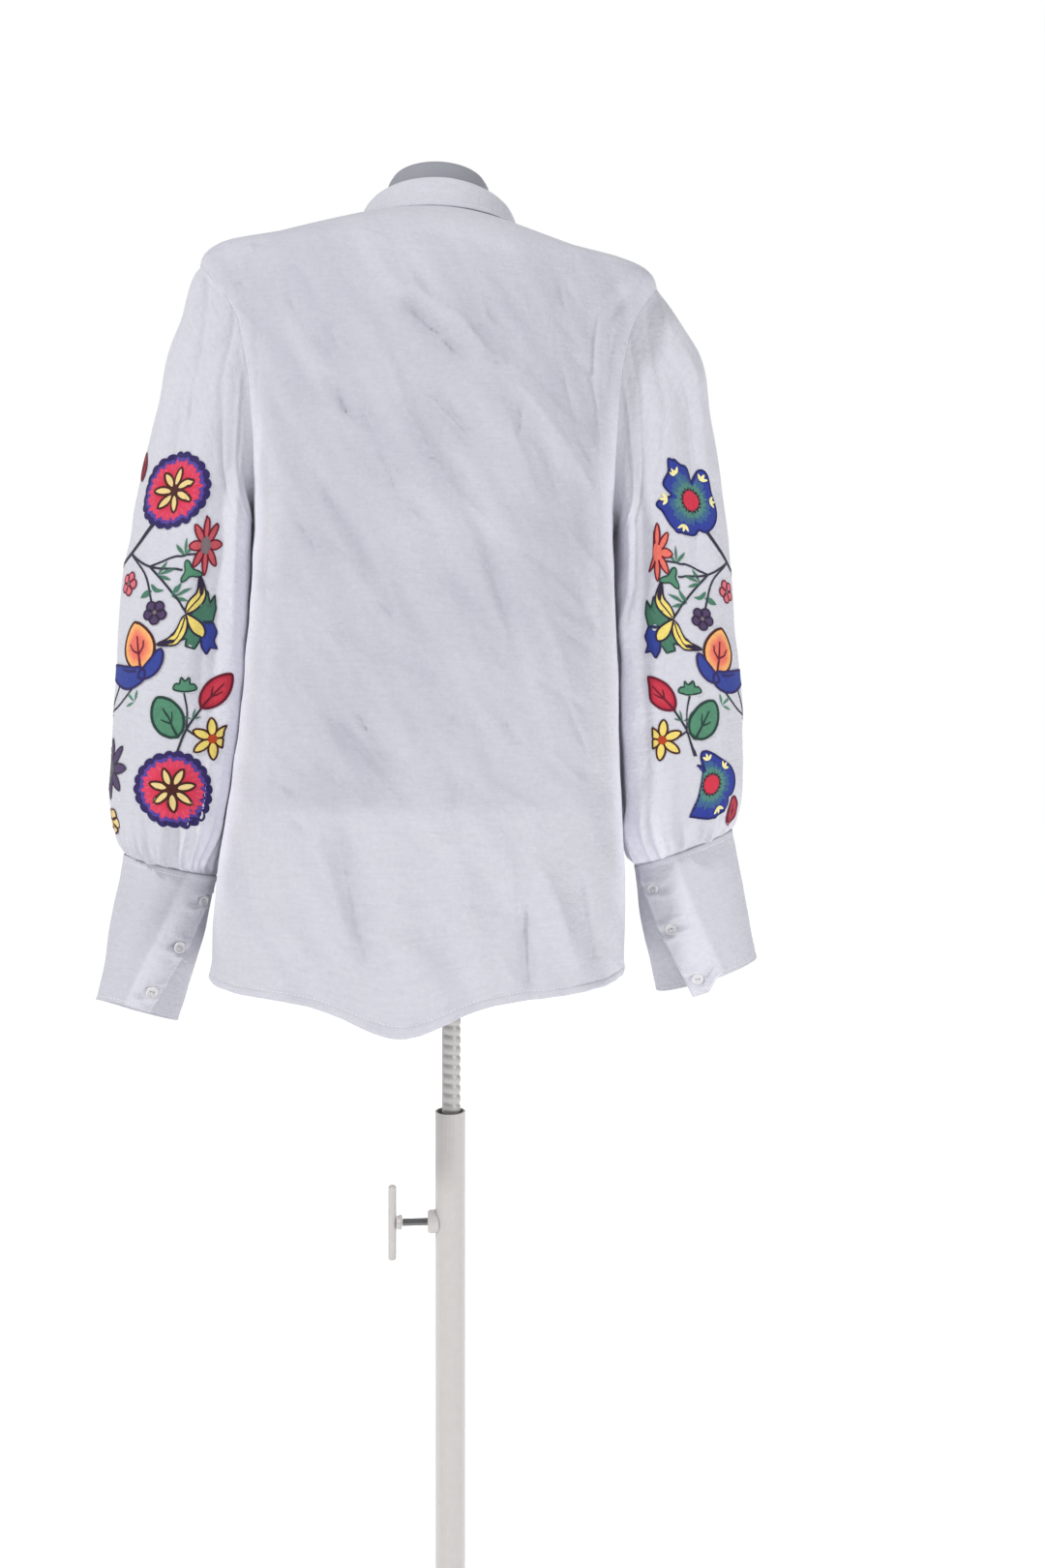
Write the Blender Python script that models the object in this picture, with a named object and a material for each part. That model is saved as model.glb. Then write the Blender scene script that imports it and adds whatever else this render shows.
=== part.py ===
"""A long-sleeved blouse on a limbless dress form, which a height-adjustable stand carries.

Metres, +Z up. The origin is the middle of the base's underside, on the pole's axis.
The blouse's back faces -Y, and the wearer's right side is at +X.
"""

import math

import bpy
import bmesh
from mathutils import Vector

# Cloth
WALL = 0.0012
CUFF_WALL = 0.0014
SEAM_GAP = 0.0003
LAP = 0.0020

# The body of the blouse: rings from the hem to the neckline
BODY_COLUMNS = ("level", "centre_x", "half_width", "back", "front",
                "z_back", "z_side", "z_front", "right_drop", "roundness")
BODY_ROWS = (
    (0.0, -0.0240, 0.1650, 0.112, 0.100, 0.7835, 0.7925, 0.7815, 0.0, 0.80),
    (1.0, -0.0220, 0.1635, 0.110, 0.101, 0.8600, 0.8650, 0.8600, 0.0, 0.80),
    (2.0, -0.0170, 0.1550, 0.107, 0.104, 0.9600, 0.9600, 0.9600, 0.0, 0.80),
    (3.0, -0.0135, 0.1480, 0.107, 0.110, 1.0600, 1.0600, 1.0600, 0.0, 0.82),
    (4.0, -0.0120, 0.1445, 0.110, 0.115, 1.1600, 1.1600, 1.1550, 0.0, 0.84),
    (5.0, -0.0115, 0.1540, 0.112, 0.112, 1.2350, 1.2350, 1.2150, 0.0, 0.86),
    (6.0, -0.0120, 0.1670, 0.109, 0.103, 1.2920, 1.3040, 1.2560, 0.0030, 0.88),
    (7.0, -0.0150, 0.1850, 0.103, 0.094, 1.3360, 1.3600, 1.2880, 0.0055, 0.90),
    (8.0, -0.0135, 0.1480, 0.096, 0.084, 1.3600, 1.3700, 1.3080, 0.0100, 0.94),
    (9.0, -0.0110, 0.1040, 0.082, 0.073, 1.3760, 1.3805, 1.3230, 0.0115, 0.98),
    (10.0, -0.0095, 0.0610, 0.063, 0.060, 1.3865, 1.3905, 1.3350, 0.0050, 1.00),
)
HEM, UNDERARM, SHOULDER_TIP, NECKLINE = 0.0, 4.0, 7.0, 10.0
ARMHOLE_BACK = 27.0
ARMHOLE_FRONT = 31.0
HEM_DIP = 0.025
HEM_DIP_X = -0.037
HEM_DIP_HALF = 0.045
HEM_DIP_LEVELS = 1.5
PANEL_STEP = 10.0
FRONT_COLUMNS = 8
BODY_LEVELS = (
    [UNDERARM * row / 13 for row in range(13)]
    + [UNDERARM + (SHOULDER_TIP - UNDERARM) * row / 7 for row in range(7)]
    + [SHOULDER_TIP + (NECKLINE - SHOULDER_TIP) * row / 4 for row in range(5)]
)

# The largest folds of the body: face, from x z to x z, half width, height out of the cloth
BODY_FOLDS = (
    ("back", -0.041, 1.300, 0.014, 1.249, 0.009, -0.0055),
    ("back", -0.041, 1.228, 0.012, 1.128, 0.009, 0.0040),
    ("back", 0.012, 1.128, 0.073, 0.994, 0.011, 0.0030),
    ("back", -0.112, 1.185, -0.055, 1.093, 0.010, -0.0042),
    ("back", -0.062, 1.118, -0.002, 1.000, 0.010, 0.0036),
    ("back", -0.023, 1.238, 0.020, 1.192, 0.009, -0.0042),
    ("back", 0.023, 1.132, 0.062, 1.004, 0.010, -0.0046),
    ("back", -0.117, 1.029, -0.076, 0.955, 0.009, 0.0042),
    ("back", -0.094, 0.997, -0.041, 0.953, 0.010, -0.0048),
    ("back", -0.076, 0.976, -0.030, 0.919, 0.009, 0.0042),
    ("back", -0.106, 0.926, -0.076, 0.827, 0.010, 0.0048),
    ("back", -0.085, 0.916, -0.058, 0.795, 0.010, -0.0054),
    ("back", -0.005, 0.937, 0.016, 0.800, 0.010, 0.0038),
    ("back", -0.027, 0.866, 0.002, 0.800, 0.010, -0.0044),
    ("back", 0.053, 0.859, 0.060, 0.781, 0.009, -0.0050),
    ("back", 0.062, 0.887, 0.092, 0.805, 0.010, 0.0042),
    ("front", -0.100, 1.240, -0.055, 1.080, 0.014, 0.0050),
    ("front", 0.085, 1.230, 0.040, 1.060, 0.014, 0.0050),
    ("front", -0.095, 1.020, -0.120, 0.790, 0.014, -0.0060),
    ("front", -0.060, 0.950, -0.055, 0.785, 0.013, 0.0055),
    ("front", 0.045, 0.960, 0.050, 0.785, 0.013, -0.0055),
    ("front", 0.085, 1.000, 0.105, 0.790, 0.014, 0.0060),
)

# Sleeves: outer and inner point of each ring, from the armhole to the cuff's seam
SLEEVE_COLUMNS = ("ring", "outer_x", "outer_z", "inner_x", "inner_z", "half_depth")
SLEEVE_ROWS = {
    "left": (
        (0.0, -0.1972, 1.3620, -0.1570, 1.1600, 0.0620),
        (1.0, -0.2047, 1.3500, -0.1615, 1.1570, 0.0600),
        (2.0, -0.2137, 1.3200, -0.1612, 1.1500, 0.0580),
        (3.0, -0.2262, 1.2850, -0.1610, 1.1420, 0.0550),
        (4.0, -0.2372, 1.2360, -0.1610, 1.1300, 0.0520),
        (5.0, -0.2477, 1.1870, -0.1618, 1.1100, 0.0490),
        (6.0, -0.2562, 1.1470, -0.1630, 1.0880, 0.0480),
        (7.0, -0.2612, 1.1050, -0.1645, 1.0620, 0.0480),
        (8.0, -0.2642, 1.0650, -0.1665, 1.0350, 0.0480),
        (9.0, -0.2662, 1.0280, -0.1690, 1.0050, 0.0490),
        (10.0, -0.2687, 0.9910, -0.1722, 0.9750, 0.0500),
        (11.0, -0.2714, 0.9520, -0.1785, 0.9420, 0.0500),
        (12.0, -0.2707, 0.9220, -0.1850, 0.9120, 0.0470),
        (13.0, -0.2662, 0.9010, -0.1900, 0.8860, 0.0400),
        (14.0, -0.2600, 0.8879, -0.1910, 0.8704, 0.0300),
    ),
    "right": (
        (0.0, 0.1690, 1.3620, 0.1330, 1.1600, 0.0620),
        (1.0, 0.1820, 1.3430, 0.1375, 1.1570, 0.0600),
        (2.0, 0.1980, 1.3170, 0.1370, 1.1500, 0.0580),
        (3.0, 0.2090, 1.2880, 0.1368, 1.1420, 0.0550),
        (4.0, 0.2180, 1.2400, 0.1368, 1.1300, 0.0520),
        (5.0, 0.2251, 1.1966, 0.1375, 1.1100, 0.0490),
        (6.0, 0.2310, 1.1550, 0.1382, 1.0880, 0.0480),
        (7.0, 0.2340, 1.1120, 0.1392, 1.0620, 0.0480),
        (8.0, 0.2365, 1.0720, 0.1402, 1.0350, 0.0480),
        (9.0, 0.2400, 1.0360, 0.1412, 1.0050, 0.0490),
        (10.0, 0.2430, 0.9970, 0.1424, 0.9750, 0.0500),
        (11.0, 0.2435, 0.9570, 0.1445, 0.9420, 0.0500),
        (12.0, 0.2410, 0.9330, 0.1470, 0.9120, 0.0470),
        (13.0, 0.2375, 0.9170, 0.1505, 0.8900, 0.0400),
        (14.0, 0.2340, 0.9065, 0.1550, 0.8765, 0.0300),
    ),
}
SLEEVE_LEVELS = (0.0, 0.7, 1.7, 2.9, 4.2, 5.6, 7.0, 8.4, 9.7, 10.8, 11.8, 12.7, 13.4, 14.0)
SLEEVE_ROUNDNESS = 0.92
ARMHOLE_LIFT = 0.0019
ARMHOLE_FADE = 3.0

# Gathers where the sleeve meets its cuff
GATHERS = 14
GATHER_POINTS = 4
GATHER_CROWD = 0.30
GATHER_CROWD_AT = 135.0
GATHER_START = 9.5
GATHER_DEPTH = 0.0042
GATHER_AT_SEAM = 0.0016
GATHER_SIZES = (1.0, 0.65, 0.9, 0.75, 1.1, 0.8, 1.0, 0.7, 1.05, 0.85, 0.6, 0.9, 0.7, 0.8)

# Long folds of a sleeve: side, turn where it starts, turn where it ends, first ring, last ring,
# half width in degrees, height
SLEEVE_FOLDS = (
    ("left", 60.0, 78.0, 0.5, 7.0, 13.0, -0.0050),
    ("left", 88.0, 100.0, 0.5, 9.0, 12.0, 0.0050),
    ("left", 112.0, 122.0, 1.0, 12.0, 13.0, -0.0050),
    ("left", 285.0, 270.0, 0.5, 10.0, 14.0, -0.0050),
    ("left", 250.0, 240.0, 1.0, 12.0, 13.0, 0.0045),
    ("right", 66.0, 80.0, 0.5, 8.0, 13.0, -0.0045),
    ("right", 92.0, 104.0, 0.5, 9.0, 12.0, 0.0050),
    ("right", 118.0, 124.0, 1.0, 12.0, 13.0, -0.0050),
    ("right", 280.0, 268.0, 0.5, 10.0, 14.0, -0.0050),
    ("right", 248.0, 240.0, 1.0, 12.0, 13.0, 0.0045),
)

# Cuffs: a band that wraps once round and laps over its own end
CUFF_COLUMNS = ("down", "outer_x", "outer_z", "inner_x", "inner_z", "half_depth", "pitch", "edge_turn")
CUFF_ROWS = {
    "left": (
        (0.0, -0.2600, 0.8862, -0.1910, 0.8687, 0.0295, 0.00, 172.0),
        (0.5, -0.2710, 0.8270, -0.2040, 0.8120, 0.0310, -0.15, 146.0),
        (1.0, -0.2796, 0.7690, -0.2225, 0.7530, 0.0325, -0.30, 120.0),
    ),
    "right": (
        (0.0, 0.2340, 0.9047, 0.1550, 0.8747, 0.0295, 0.00, 160.0),
        (0.5, 0.2450, 0.8520, 0.1615, 0.8230, 0.0290, 0.00, 138.0),
        (1.0, 0.2550, 0.7990, 0.1735, 0.7720, 0.0285, 0.00, 114.0),
    ),
}
CUFF_TAB_DROP = {"left": 0.0, "right": 0.011}
CUFF_TAB_TURNS = (440.0, 448.0)
CUFF_OVERLAP = 45.0
CUFF_RISE_FROM = 290.0
CUFF_RISE_TO = 395.0
CUFF_STEPS = 26
CUFF_LEVELS = 4

# Collar: a stand with a fall turned down over it
COLLAR_COLUMNS = ("centre_x", "half_width", "back", "front", "z_back", "z_side", "z_front")
STAND_TOP = (-0.0095, 0.0590, 0.0605, 0.0575, 1.4110, 1.4070, 1.3600)
FALL_EDGE = (-0.0095, 0.0668, 0.0725, 0.0880, 1.3865, 1.3920, 1.3150)
STAND_LAP = 8.0
STAND_LAP_IN = 0.0020
FALL_END = 170.0
FALL_TOP_PROFILE = ((0.0000, 0.0011), (0.0018, 0.0006), (0.0031, -0.0018))
FALL_STEPS = 3

# Button band and buttons
BAND_HALF_WIDTH = 0.0125
BAND_TOP = 9.6
BAND_LIFT = WALL + SEAM_GAP + 0.0002
BUTTON_RADIUS = 0.0050
BUTTON_THICK = 0.0024
BUTTON_SIDES = 12
BUTTON_CLEAR = 0.0002
CUFF_BUTTON_CLEAR = 0.0003
FRONT_BUTTON_HEIGHTS = (1.295, 1.215, 1.135, 1.055, 0.975, 0.895)
CUFF_BUTTONS = {
    "left": (0.17, 0.52, 0.86),
    "right": (0.19, 0.52, 0.90),
}
CUFF_BUTTON_BACK = 13.0

# The dress form: how far it lies inside the blouse at each level
FORM_COLUMNS = ("level", "inset")
FORM_ROWS = (
    (1.65, 0.0250),
    (2.0, 0.0240),
    (3.0, 0.0210),
    (4.0, 0.0190),
    (5.0, 0.0160),
    (6.0, 0.0115),
    (6.6, 0.0085),
    (7.0, 0.0024),
    (10.0, 0.0020),
)
FORM_LEVELS = (1.65, 1.8, 2.6, 3.4, 4.2, 5.0, 5.7, 6.4, 7.0, 7.75, 8.5, 9.25, 10.0)
FORM_BOTTOM_EDGE = 0.012
NECK_ROOT_SCALE = 0.86
NECK_ROOT_RISE = 0.004
NECK_COLUMNS = ("z", "radius")
NECK_ROWS = ((1.4020, 0.0500), (1.4190, 0.0450), (1.4320, 0.0425), (1.4375, 0.0405), (1.4390, 0.0370))
NECK_CENTRE = (-0.0095, 0.0005)

# The stand
ROD_RADIUS = 0.0085
ROD_BOTTOM = 0.300
ROD_SIDES = 20
TUBE_RADIUS = 0.0125
TUBE_WALL = 0.0015
TUBE_TOP = 0.674
TUBE_SIDES = 24
BASE_RADIUS = 0.160
BASE_EDGE = 0.0045
BASE_THICK = 0.0080
BASE_SIDES = 40
SOCKET_RADIUS = 0.0190
SOCKET_TOP = 0.046
CLAMP_Z = 0.583
SCREW_RADIUS = 0.0030
SCREW_BORE = 0.0034
BOSS_RADIUS = 0.0095
BOSS_END = 0.0187
HUB_RADIUS = 0.0062
HUB_START = 0.0395
HUB_END = 0.0440
BAR_X = 0.0477
BAR_RADIUS = 0.0035
BAR_LENGTH = 0.0615

CLOTH_COLOUR = (0.80, 0.79, 0.83, 1.0)
FORM_COLOUR = (0.30, 0.30, 0.33, 1.0)
BUTTON_COLOUR = (0.78, 0.76, 0.76, 1.0)
PAINT_COLOUR = (0.50, 0.48, 0.47, 1.0)
ROD_COLOUR = (0.42, 0.41, 0.40, 1.0)
STEEL_COLOUR = (0.25, 0.25, 0.25, 1.0)
SIDES = {"left": -1.0, "right": 1.0}


def interpolate(rows, at):
    """Read a table's columns at a value of its first column, on smooth curves through the rows."""
    at = min(max(at, rows[0][0]), rows[-1][0])
    index = 0
    while index < len(rows) - 2 and at > rows[index + 1][0]:
        index += 1
    before = rows[max(index - 1, 0)]
    start = rows[index]
    end = rows[index + 1]
    after = rows[min(index + 2, len(rows) - 1)]
    span = end[0] - start[0]
    part = (at - start[0]) / span
    values = []
    for column in range(1, len(start)):
        slope_start = (end[column] - before[column]) / (end[0] - before[0]) * span
        slope_end = (after[column] - start[column]) / (after[0] - start[0]) * span
        values.append(
            (2 * part**3 - 3 * part**2 + 1) * start[column]
            + (part**3 - 2 * part**2 + part) * slope_start
            + (3 * part**2 - 2 * part**3) * end[column]
            + (part**3 - part**2) * slope_end
        )
    return values


def ease(value, start, end):
    """Go smoothly from 0 at start to 1 at end."""
    part = min(max((value - start) / (end - start), 0.0), 1.0)
    return part * part * (3.0 - 2.0 * part)


def signed_power(value, power):
    return math.copysign(abs(value) ** power, value)


def surface_normal(surface, u, v, step_u, step_v):
    """The unit normal of surface(u, v), from points a small step to each side."""
    along_u = surface(u + step_u, v) - surface(u - step_u, v)
    along_v = surface(u, v + step_v) - surface(u, v - step_v)
    return along_u.cross(along_v).normalized()


# The body's surface

def body_base(level, angle):
    """The plain body without folds. Angle 0 is centre back, 90 the wearer's right, 180 centre front."""
    columns = interpolate(BODY_ROWS, level)
    centre_x, half_width, back, front, z_back, z_side, z_front, right_drop, roundness = columns
    across = math.sin(math.radians(angle))
    along = math.cos(math.radians(angle))
    depth = back if along > 0 else front
    z_middle = z_back if along > 0 else z_front
    x = centre_x + half_width * signed_power(across, roundness)
    y = -depth * signed_power(along, roundness)
    z = z_side + (z_middle - z_side) * along * along
    if across > 0:
        z -= right_drop * across * across
    if along > 0:
        fade = max(0.0, 1.0 - level / HEM_DIP_LEVELS) ** 2
        z -= HEM_DIP * fade * math.exp(-((x - HEM_DIP_X) / HEM_DIP_HALF) ** 2)
    return Vector((x, y, z))


def body_normal(level, angle):
    level = min(max(level, HEM + 0.02), NECKLINE - 0.02)
    return surface_normal(body_base, level, angle, 0.02, 0.4) * -1.0


def fold_height(x, z, face):
    """The height of the body's folds at a point of its back or front."""
    height = 0.0
    for fold_face, x0, z0, x1, z1, half_width, fold in BODY_FOLDS:
        if fold_face != face:
            continue
        run_x, run_z = x1 - x0, z1 - z0
        part = ((x - x0) * run_x + (z - z0) * run_z) / (run_x**2 + run_z**2)
        part = min(max(part, 0.0), 1.0)
        distance = math.hypot(x - x0 - part * run_x, z - z0 - part * run_z)
        height += fold * math.exp(-((distance / half_width) ** 2))
    return height


def body_point(level, angle, lift=0.0):
    """A point in the middle of the cloth's wall, moved out by lift."""
    base = body_base(level, angle)
    face = "back" if base.y < 0 else "front"
    fade = ease(abs(math.cos(math.radians(angle))), 0.08, 0.45) * (1.0 - ease(level, 6.2, 7.0))
    height = fade * fold_height(base.x, base.z, face)
    return base + body_normal(level, angle) * (height + lift)


def armhole_width(level, widest):
    """How many degrees the armhole's edge stands back from the side, at a level."""
    part = (level - UNDERARM) / (SHOULDER_TIP - UNDERARM)
    if part <= 0.0 or part >= 1.0:
        return 0.0
    return widest * math.sqrt(4.0 * part * (1.0 - part))


# Sleeves

def gather_turn(step):
    """Turn an even step round the sleeve, in degrees, into one that crowds at the gathered side."""
    return step - math.degrees(GATHER_CROWD * math.sin(math.radians(step - GATHER_CROWD_AT)))


def sleeve_ring(side, ring, turn):
    """A plain sleeve ring. Turn 0 is the outer edge, 90 the back, 180 the underarm, 270 the front."""
    outer_x, outer_z, inner_x, inner_z, half_depth = interpolate(SLEEVE_ROWS[side], ring)
    across = signed_power(math.cos(math.radians(turn)), SLEEVE_ROUNDNESS)
    along = signed_power(math.sin(math.radians(turn)), SLEEVE_ROUNDNESS)
    x = (outer_x + inner_x) / 2 + (outer_x - inner_x) / 2 * across
    z = (outer_z + inner_z) / 2 + (outer_z - inner_z) / 2 * across
    return Vector((x, -half_depth * along, z))


def armhole_point(side, turn):
    """The armhole's edge on the body, lifted so that the sleeve lies on the panels' edges."""
    across = math.cos(math.radians(turn))
    along = math.sin(math.radians(turn))
    level = UNDERARM + (SHOULDER_TIP - UNDERARM) * (1.0 + across) / 2
    widest = ARMHOLE_BACK if along > 0 else ARMHOLE_FRONT
    angle = SIDES[side] * (90.0 - widest * along)
    return body_point(level, angle, ARMHOLE_LIFT)


def sleeve_base(side, ring, turn):
    point = sleeve_ring(side, ring, turn)
    fade = 1.0 - ease(ring, 0.0, ARMHOLE_FADE)
    if fade > 0.0:
        point += (armhole_point(side, turn) - sleeve_ring(side, 0.0, turn)) * fade
    return point


def sleeve_relief(side, ring, step):
    """The height of a sleeve's gathers and long folds."""
    turn = gather_turn(step)
    wave = step / 360.0 * GATHERS
    size = GATHER_SIZES[int(wave + 0.5) % GATHERS]
    rise = ease(ring, GATHER_START, 12.8)
    at_seam = ease(ring, 13.0, 14.0)
    depth = rise * (GATHER_DEPTH * (1.0 - at_seam) + GATHER_AT_SEAM * at_seam)
    height = size * depth * math.cos(2.0 * math.pi * wave)
    for fold_side, turn_start, turn_end, first, last, half_width, fold in SLEEVE_FOLDS:
        if fold_side != side:
            continue
        part = (ring - first) / (last - first)
        if part <= 0.0 or part >= 1.0:
            continue
        away = (turn - turn_start - (turn_end - turn_start) * part + 180.0) % 360.0 - 180.0
        height += fold * math.sin(math.pi * part) ** 0.7 * math.exp(-((away / half_width) ** 2))
    return height


def sleeve_point(side, ring, step):
    """A point in the middle of the sleeve's wall; step runs evenly round it in degrees."""
    def base(at_ring, at_step):
        return sleeve_base(side, at_ring, gather_turn(at_step))

    inside = min(max(ring, 0.05), 13.95)
    outward = surface_normal(base, inside, step, 0.05, 2.0) * -SIDES[side]
    return base(ring, step) + outward * sleeve_relief(side, ring, step)


# Cuffs

def cuff_ring(side, down, turn):
    outer_x, outer_z, inner_x, inner_z, half_depth, pitch, edge = interpolate(CUFF_ROWS[side], down)
    across = math.cos(math.radians(turn))
    y = -half_depth * math.sin(math.radians(turn))
    x = (outer_x + inner_x) / 2 + (outer_x - inner_x) / 2 * across
    z = (outer_z + inner_z) / 2 + (outer_z - inner_z) / 2 * across + pitch * y
    return Vector((x, y, z))


def cuff_edge_turn(side, down):
    return interpolate(CUFF_ROWS[side], down)[6]


def cuff_normal(side, down, turn):
    def ring(at_down, at_turn):
        return cuff_ring(side, at_down, at_turn)

    inside = min(max(down, 0.02), 0.98)
    return surface_normal(ring, inside, turn, 0.02, 1.0) * -SIDES[side]


def cuff_point(side, down, turn, lift=0.0):
    """A point of the cuff's wall. Past a full turn the band lies on its own beginning."""
    rise = LAP * ease(turn, CUFF_RISE_FROM, CUFF_RISE_TO)
    drop = CUFF_TAB_DROP[side] * ease(turn, *CUFF_TAB_TURNS) * down**3
    point = cuff_ring(side, down, turn) + cuff_normal(side, down, turn) * (rise + lift)
    return point - Vector((0.0, 0.0, drop))


# Collar

def collar_ring(sizes, angle):
    centre_x, half_width, back, front, z_back, z_side, z_front = sizes
    across = math.sin(math.radians(angle))
    along = math.cos(math.radians(angle))
    depth = back if along > 0 else front
    z_middle = z_back if along > 0 else z_front
    z = z_side + (z_middle - z_side) * along * along
    return Vector((centre_x + half_width * across, -depth * along, z))


def ring_outward(sizes, angle):
    """The level direction that points straight out of a collar ring."""
    run = collar_ring(sizes, angle + 1.0) - collar_ring(sizes, angle - 1.0)
    return Vector((run.y, -run.x, 0.0)).normalized()


def stand_point(up, angle, lift=0.0):
    """The collar stand, from the neckline at up 0 to its top at up 1."""
    neckline = body_base(NECKLINE, angle) + Vector((0.0, 0.0, WALL / 2 + SEAM_GAP))
    top = collar_ring(STAND_TOP, angle)
    inward = STAND_LAP_IN * (1.0 - ease(angle, -180.0 - STAND_LAP, -155.0))
    return neckline.lerp(top, up) + ring_outward(STAND_TOP, angle) * (lift - inward)


def fall_point(row, angle):
    """The collar's fall: over the stand's top, then down to its free edge."""
    top = collar_ring(STAND_TOP, angle)
    outward = ring_outward(STAND_TOP, angle)
    over = min(row, len(FALL_TOP_PROFILE) - 1)
    out, up = FALL_TOP_PROFILE[over]
    point = top + outward * out + Vector((0.0, 0.0, up))
    if row > over:
        point = point.lerp(collar_ring(FALL_EDGE, angle), (row - over) / FALL_STEPS)
    return point


# Solids from grids

def grid_normals(grid, around):
    """A unit normal at each point of a grid; around says that its columns close on themselves."""
    rows, columns = len(grid), len(grid[0])
    normals = []
    for i in range(rows):
        line = []
        for j in range(columns):
            down = grid[min(i + 1, rows - 1)][j] - grid[max(i - 1, 0)][j]
            if around:
                across = grid[i][(j + 1) % columns] - grid[i][(j - 1) % columns]
            else:
                across = grid[i][min(j + 1, columns - 1)] - grid[i][max(j - 1, 0)]
            line.append(down.cross(across).normalized())
        normals.append(line)
    return normals


def wall_from_grid(name, grid, material, wall=WALL, around=False):
    """Make a closed wall whose middle is the grid."""
    normals = grid_normals(grid, around)
    rows, columns = len(grid), len(grid[0])
    mesh = bmesh.new()
    faces = []
    for way in (0.5, -0.5):
        faces.append([
            [mesh.verts.new(grid[i][j] + normals[i][j] * wall * way) for j in range(columns)]
            for i in range(rows)
        ])
    outer, inner = faces
    last = columns if around else columns - 1
    for i in range(rows - 1):
        for j in range(last):
            k = (j + 1) % columns
            mesh.faces.new((outer[i][j], outer[i + 1][j], outer[i + 1][k], outer[i][k]))
            mesh.faces.new((inner[i][j], inner[i][k], inner[i + 1][k], inner[i + 1][j]))
    for i in (0, rows - 1):
        for j in range(last):
            k = (j + 1) % columns
            mesh.faces.new((outer[i][j], outer[i][k], inner[i][k], inner[i][j]))
    if not around:
        for j in (0, columns - 1):
            for i in range(rows - 1):
                mesh.faces.new((outer[i][j], inner[i][j], inner[i + 1][j], outer[i + 1][j]))
    return finish_object(name, mesh, material)


def solid_from_rings(name, rings, material):
    """Make a closed solid through rings of points, with a flat cap on each end."""
    mesh = bmesh.new()
    loops = [[mesh.verts.new(point) for point in ring] for ring in rings]
    count = len(rings[0])
    for low, high in zip(loops, loops[1:]):
        for j in range(count):
            k = (j + 1) % count
            mesh.faces.new((low[j], low[k], high[k], high[j]))
    mesh.faces.new(loops[0])
    mesh.faces.new(loops[-1])
    return finish_object(name, mesh, material)


def turned_solid(name, profile, sides, material, origin=Vector((0, 0, 0)), axis=Vector((0, 0, 1))):
    """Turn a profile of radius and height about an axis; the first and last rings are capped."""
    tilt = Vector((0, 0, 1)).rotation_difference(axis).to_matrix()
    rings = []
    for radius, height in profile:
        ring = []
        for step in range(sides):
            angle = 2.0 * math.pi * step / sides
            local = Vector((radius * math.cos(angle), radius * math.sin(angle), height))
            ring.append(origin + tilt @ local)
        rings.append(ring)
    return solid_from_rings(name, rings, material)


def finish_object(name, mesh, material, sharp=40.0):
    bmesh.ops.recalc_face_normals(mesh, faces=mesh.faces)
    data = bpy.data.meshes.new(name)
    mesh.to_mesh(data)
    mesh.free()
    data.shade_smooth()
    data.set_sharp_from_angle(angle=math.radians(sharp))
    data.materials.append(material)
    thing = bpy.data.objects.new(name, data)
    bpy.context.scene.collection.objects.link(thing)
    return thing


def new_material(name, colour, roughness, metallic=0.0):
    material = bpy.data.materials.new(name)
    material.use_nodes = True
    shader = material.node_tree.nodes["Principled BSDF"]
    shader.inputs["Base Color"].default_value = colour
    shader.inputs["Roughness"].default_value = roughness
    shader.inputs["Metallic"].default_value = metallic
    material.diffuse_color = colour
    return material


def cut_round_hole(thing, radius, start, end, sides):
    """Cut a round hole from point start to point end out of an object."""
    run = end - start
    cutter_material = thing.data.materials[0]
    profile = ((radius, 0.0), (radius, run.length))
    cutter = turned_solid(thing.name + "_cutter", profile, sides, cutter_material, start, run.normalized())
    cutter.hide_render = True
    cutter.display_type = "WIRE"
    modifier = thing.modifiers.new("hole", "BOOLEAN")
    modifier.operation = "DIFFERENCE"
    modifier.solver = "EXACT"
    modifier.object = cutter


# Pieces of the blouse

def panel_grid(levels, angles_at, seam_shift):
    """Points of a body panel. angles_at(level) gives its columns; seam_shift parts it at its seams."""
    grid = []
    for level in levels:
        row = []
        for angle in angles_at(level):
            point = body_point(level, angle)
            if abs(abs(angle) - 90.0) < 0.01:
                point.y += seam_shift
            row.append(point)
        grid.append(row)
    return grid


def spread(start, end, count):
    return [start + (end - start) * step / count for step in range(count + 1)]


def make_back(material):
    def angles(level):
        edge = 90.0 - armhole_width(level, ARMHOLE_BACK)
        return spread(-edge, edge, int(180 / PANEL_STEP))

    wall_from_grid("back", panel_grid(BODY_LEVELS, angles, -SEAM_GAP / 2), material)


def front_angles(level):
    """The columns of a front: even as far as the button band's edge, then the centre front."""
    edge = 90.0 + armhole_width(level, ARMHOLE_FRONT)
    return spread(edge, front_angle(level, BAND_HALF_WIDTH), FRONT_COLUMNS) + [180.0]


def make_front(side, material):
    sign = SIDES[side]

    def angles(level):
        return [sign * angle for angle in front_angles(level)]

    grid = panel_grid(BODY_LEVELS, angles, SEAM_GAP / 2)
    for row in grid:
        row[-1].x += sign * SEAM_GAP / 2
    wall_from_grid("front_" + side, grid, material)


def front_angle(level, across):
    """The angle of a point beside the centre front line, across metres to the wearer's right."""
    half_width, roundness = interpolate(BODY_ROWS, level)[1], interpolate(BODY_ROWS, level)[8]
    return 180.0 - math.degrees(math.asin(signed_power(across / half_width, 1.0 / roundness)))


def front_level_at(height):
    """The level whose centre front lies at a height."""
    low, high = HEM, NECKLINE
    for _ in range(40):
        middle = (low + high) / 2
        if body_base(middle, 180.0).z < height:
            low = middle
        else:
            high = middle
    return low


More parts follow.
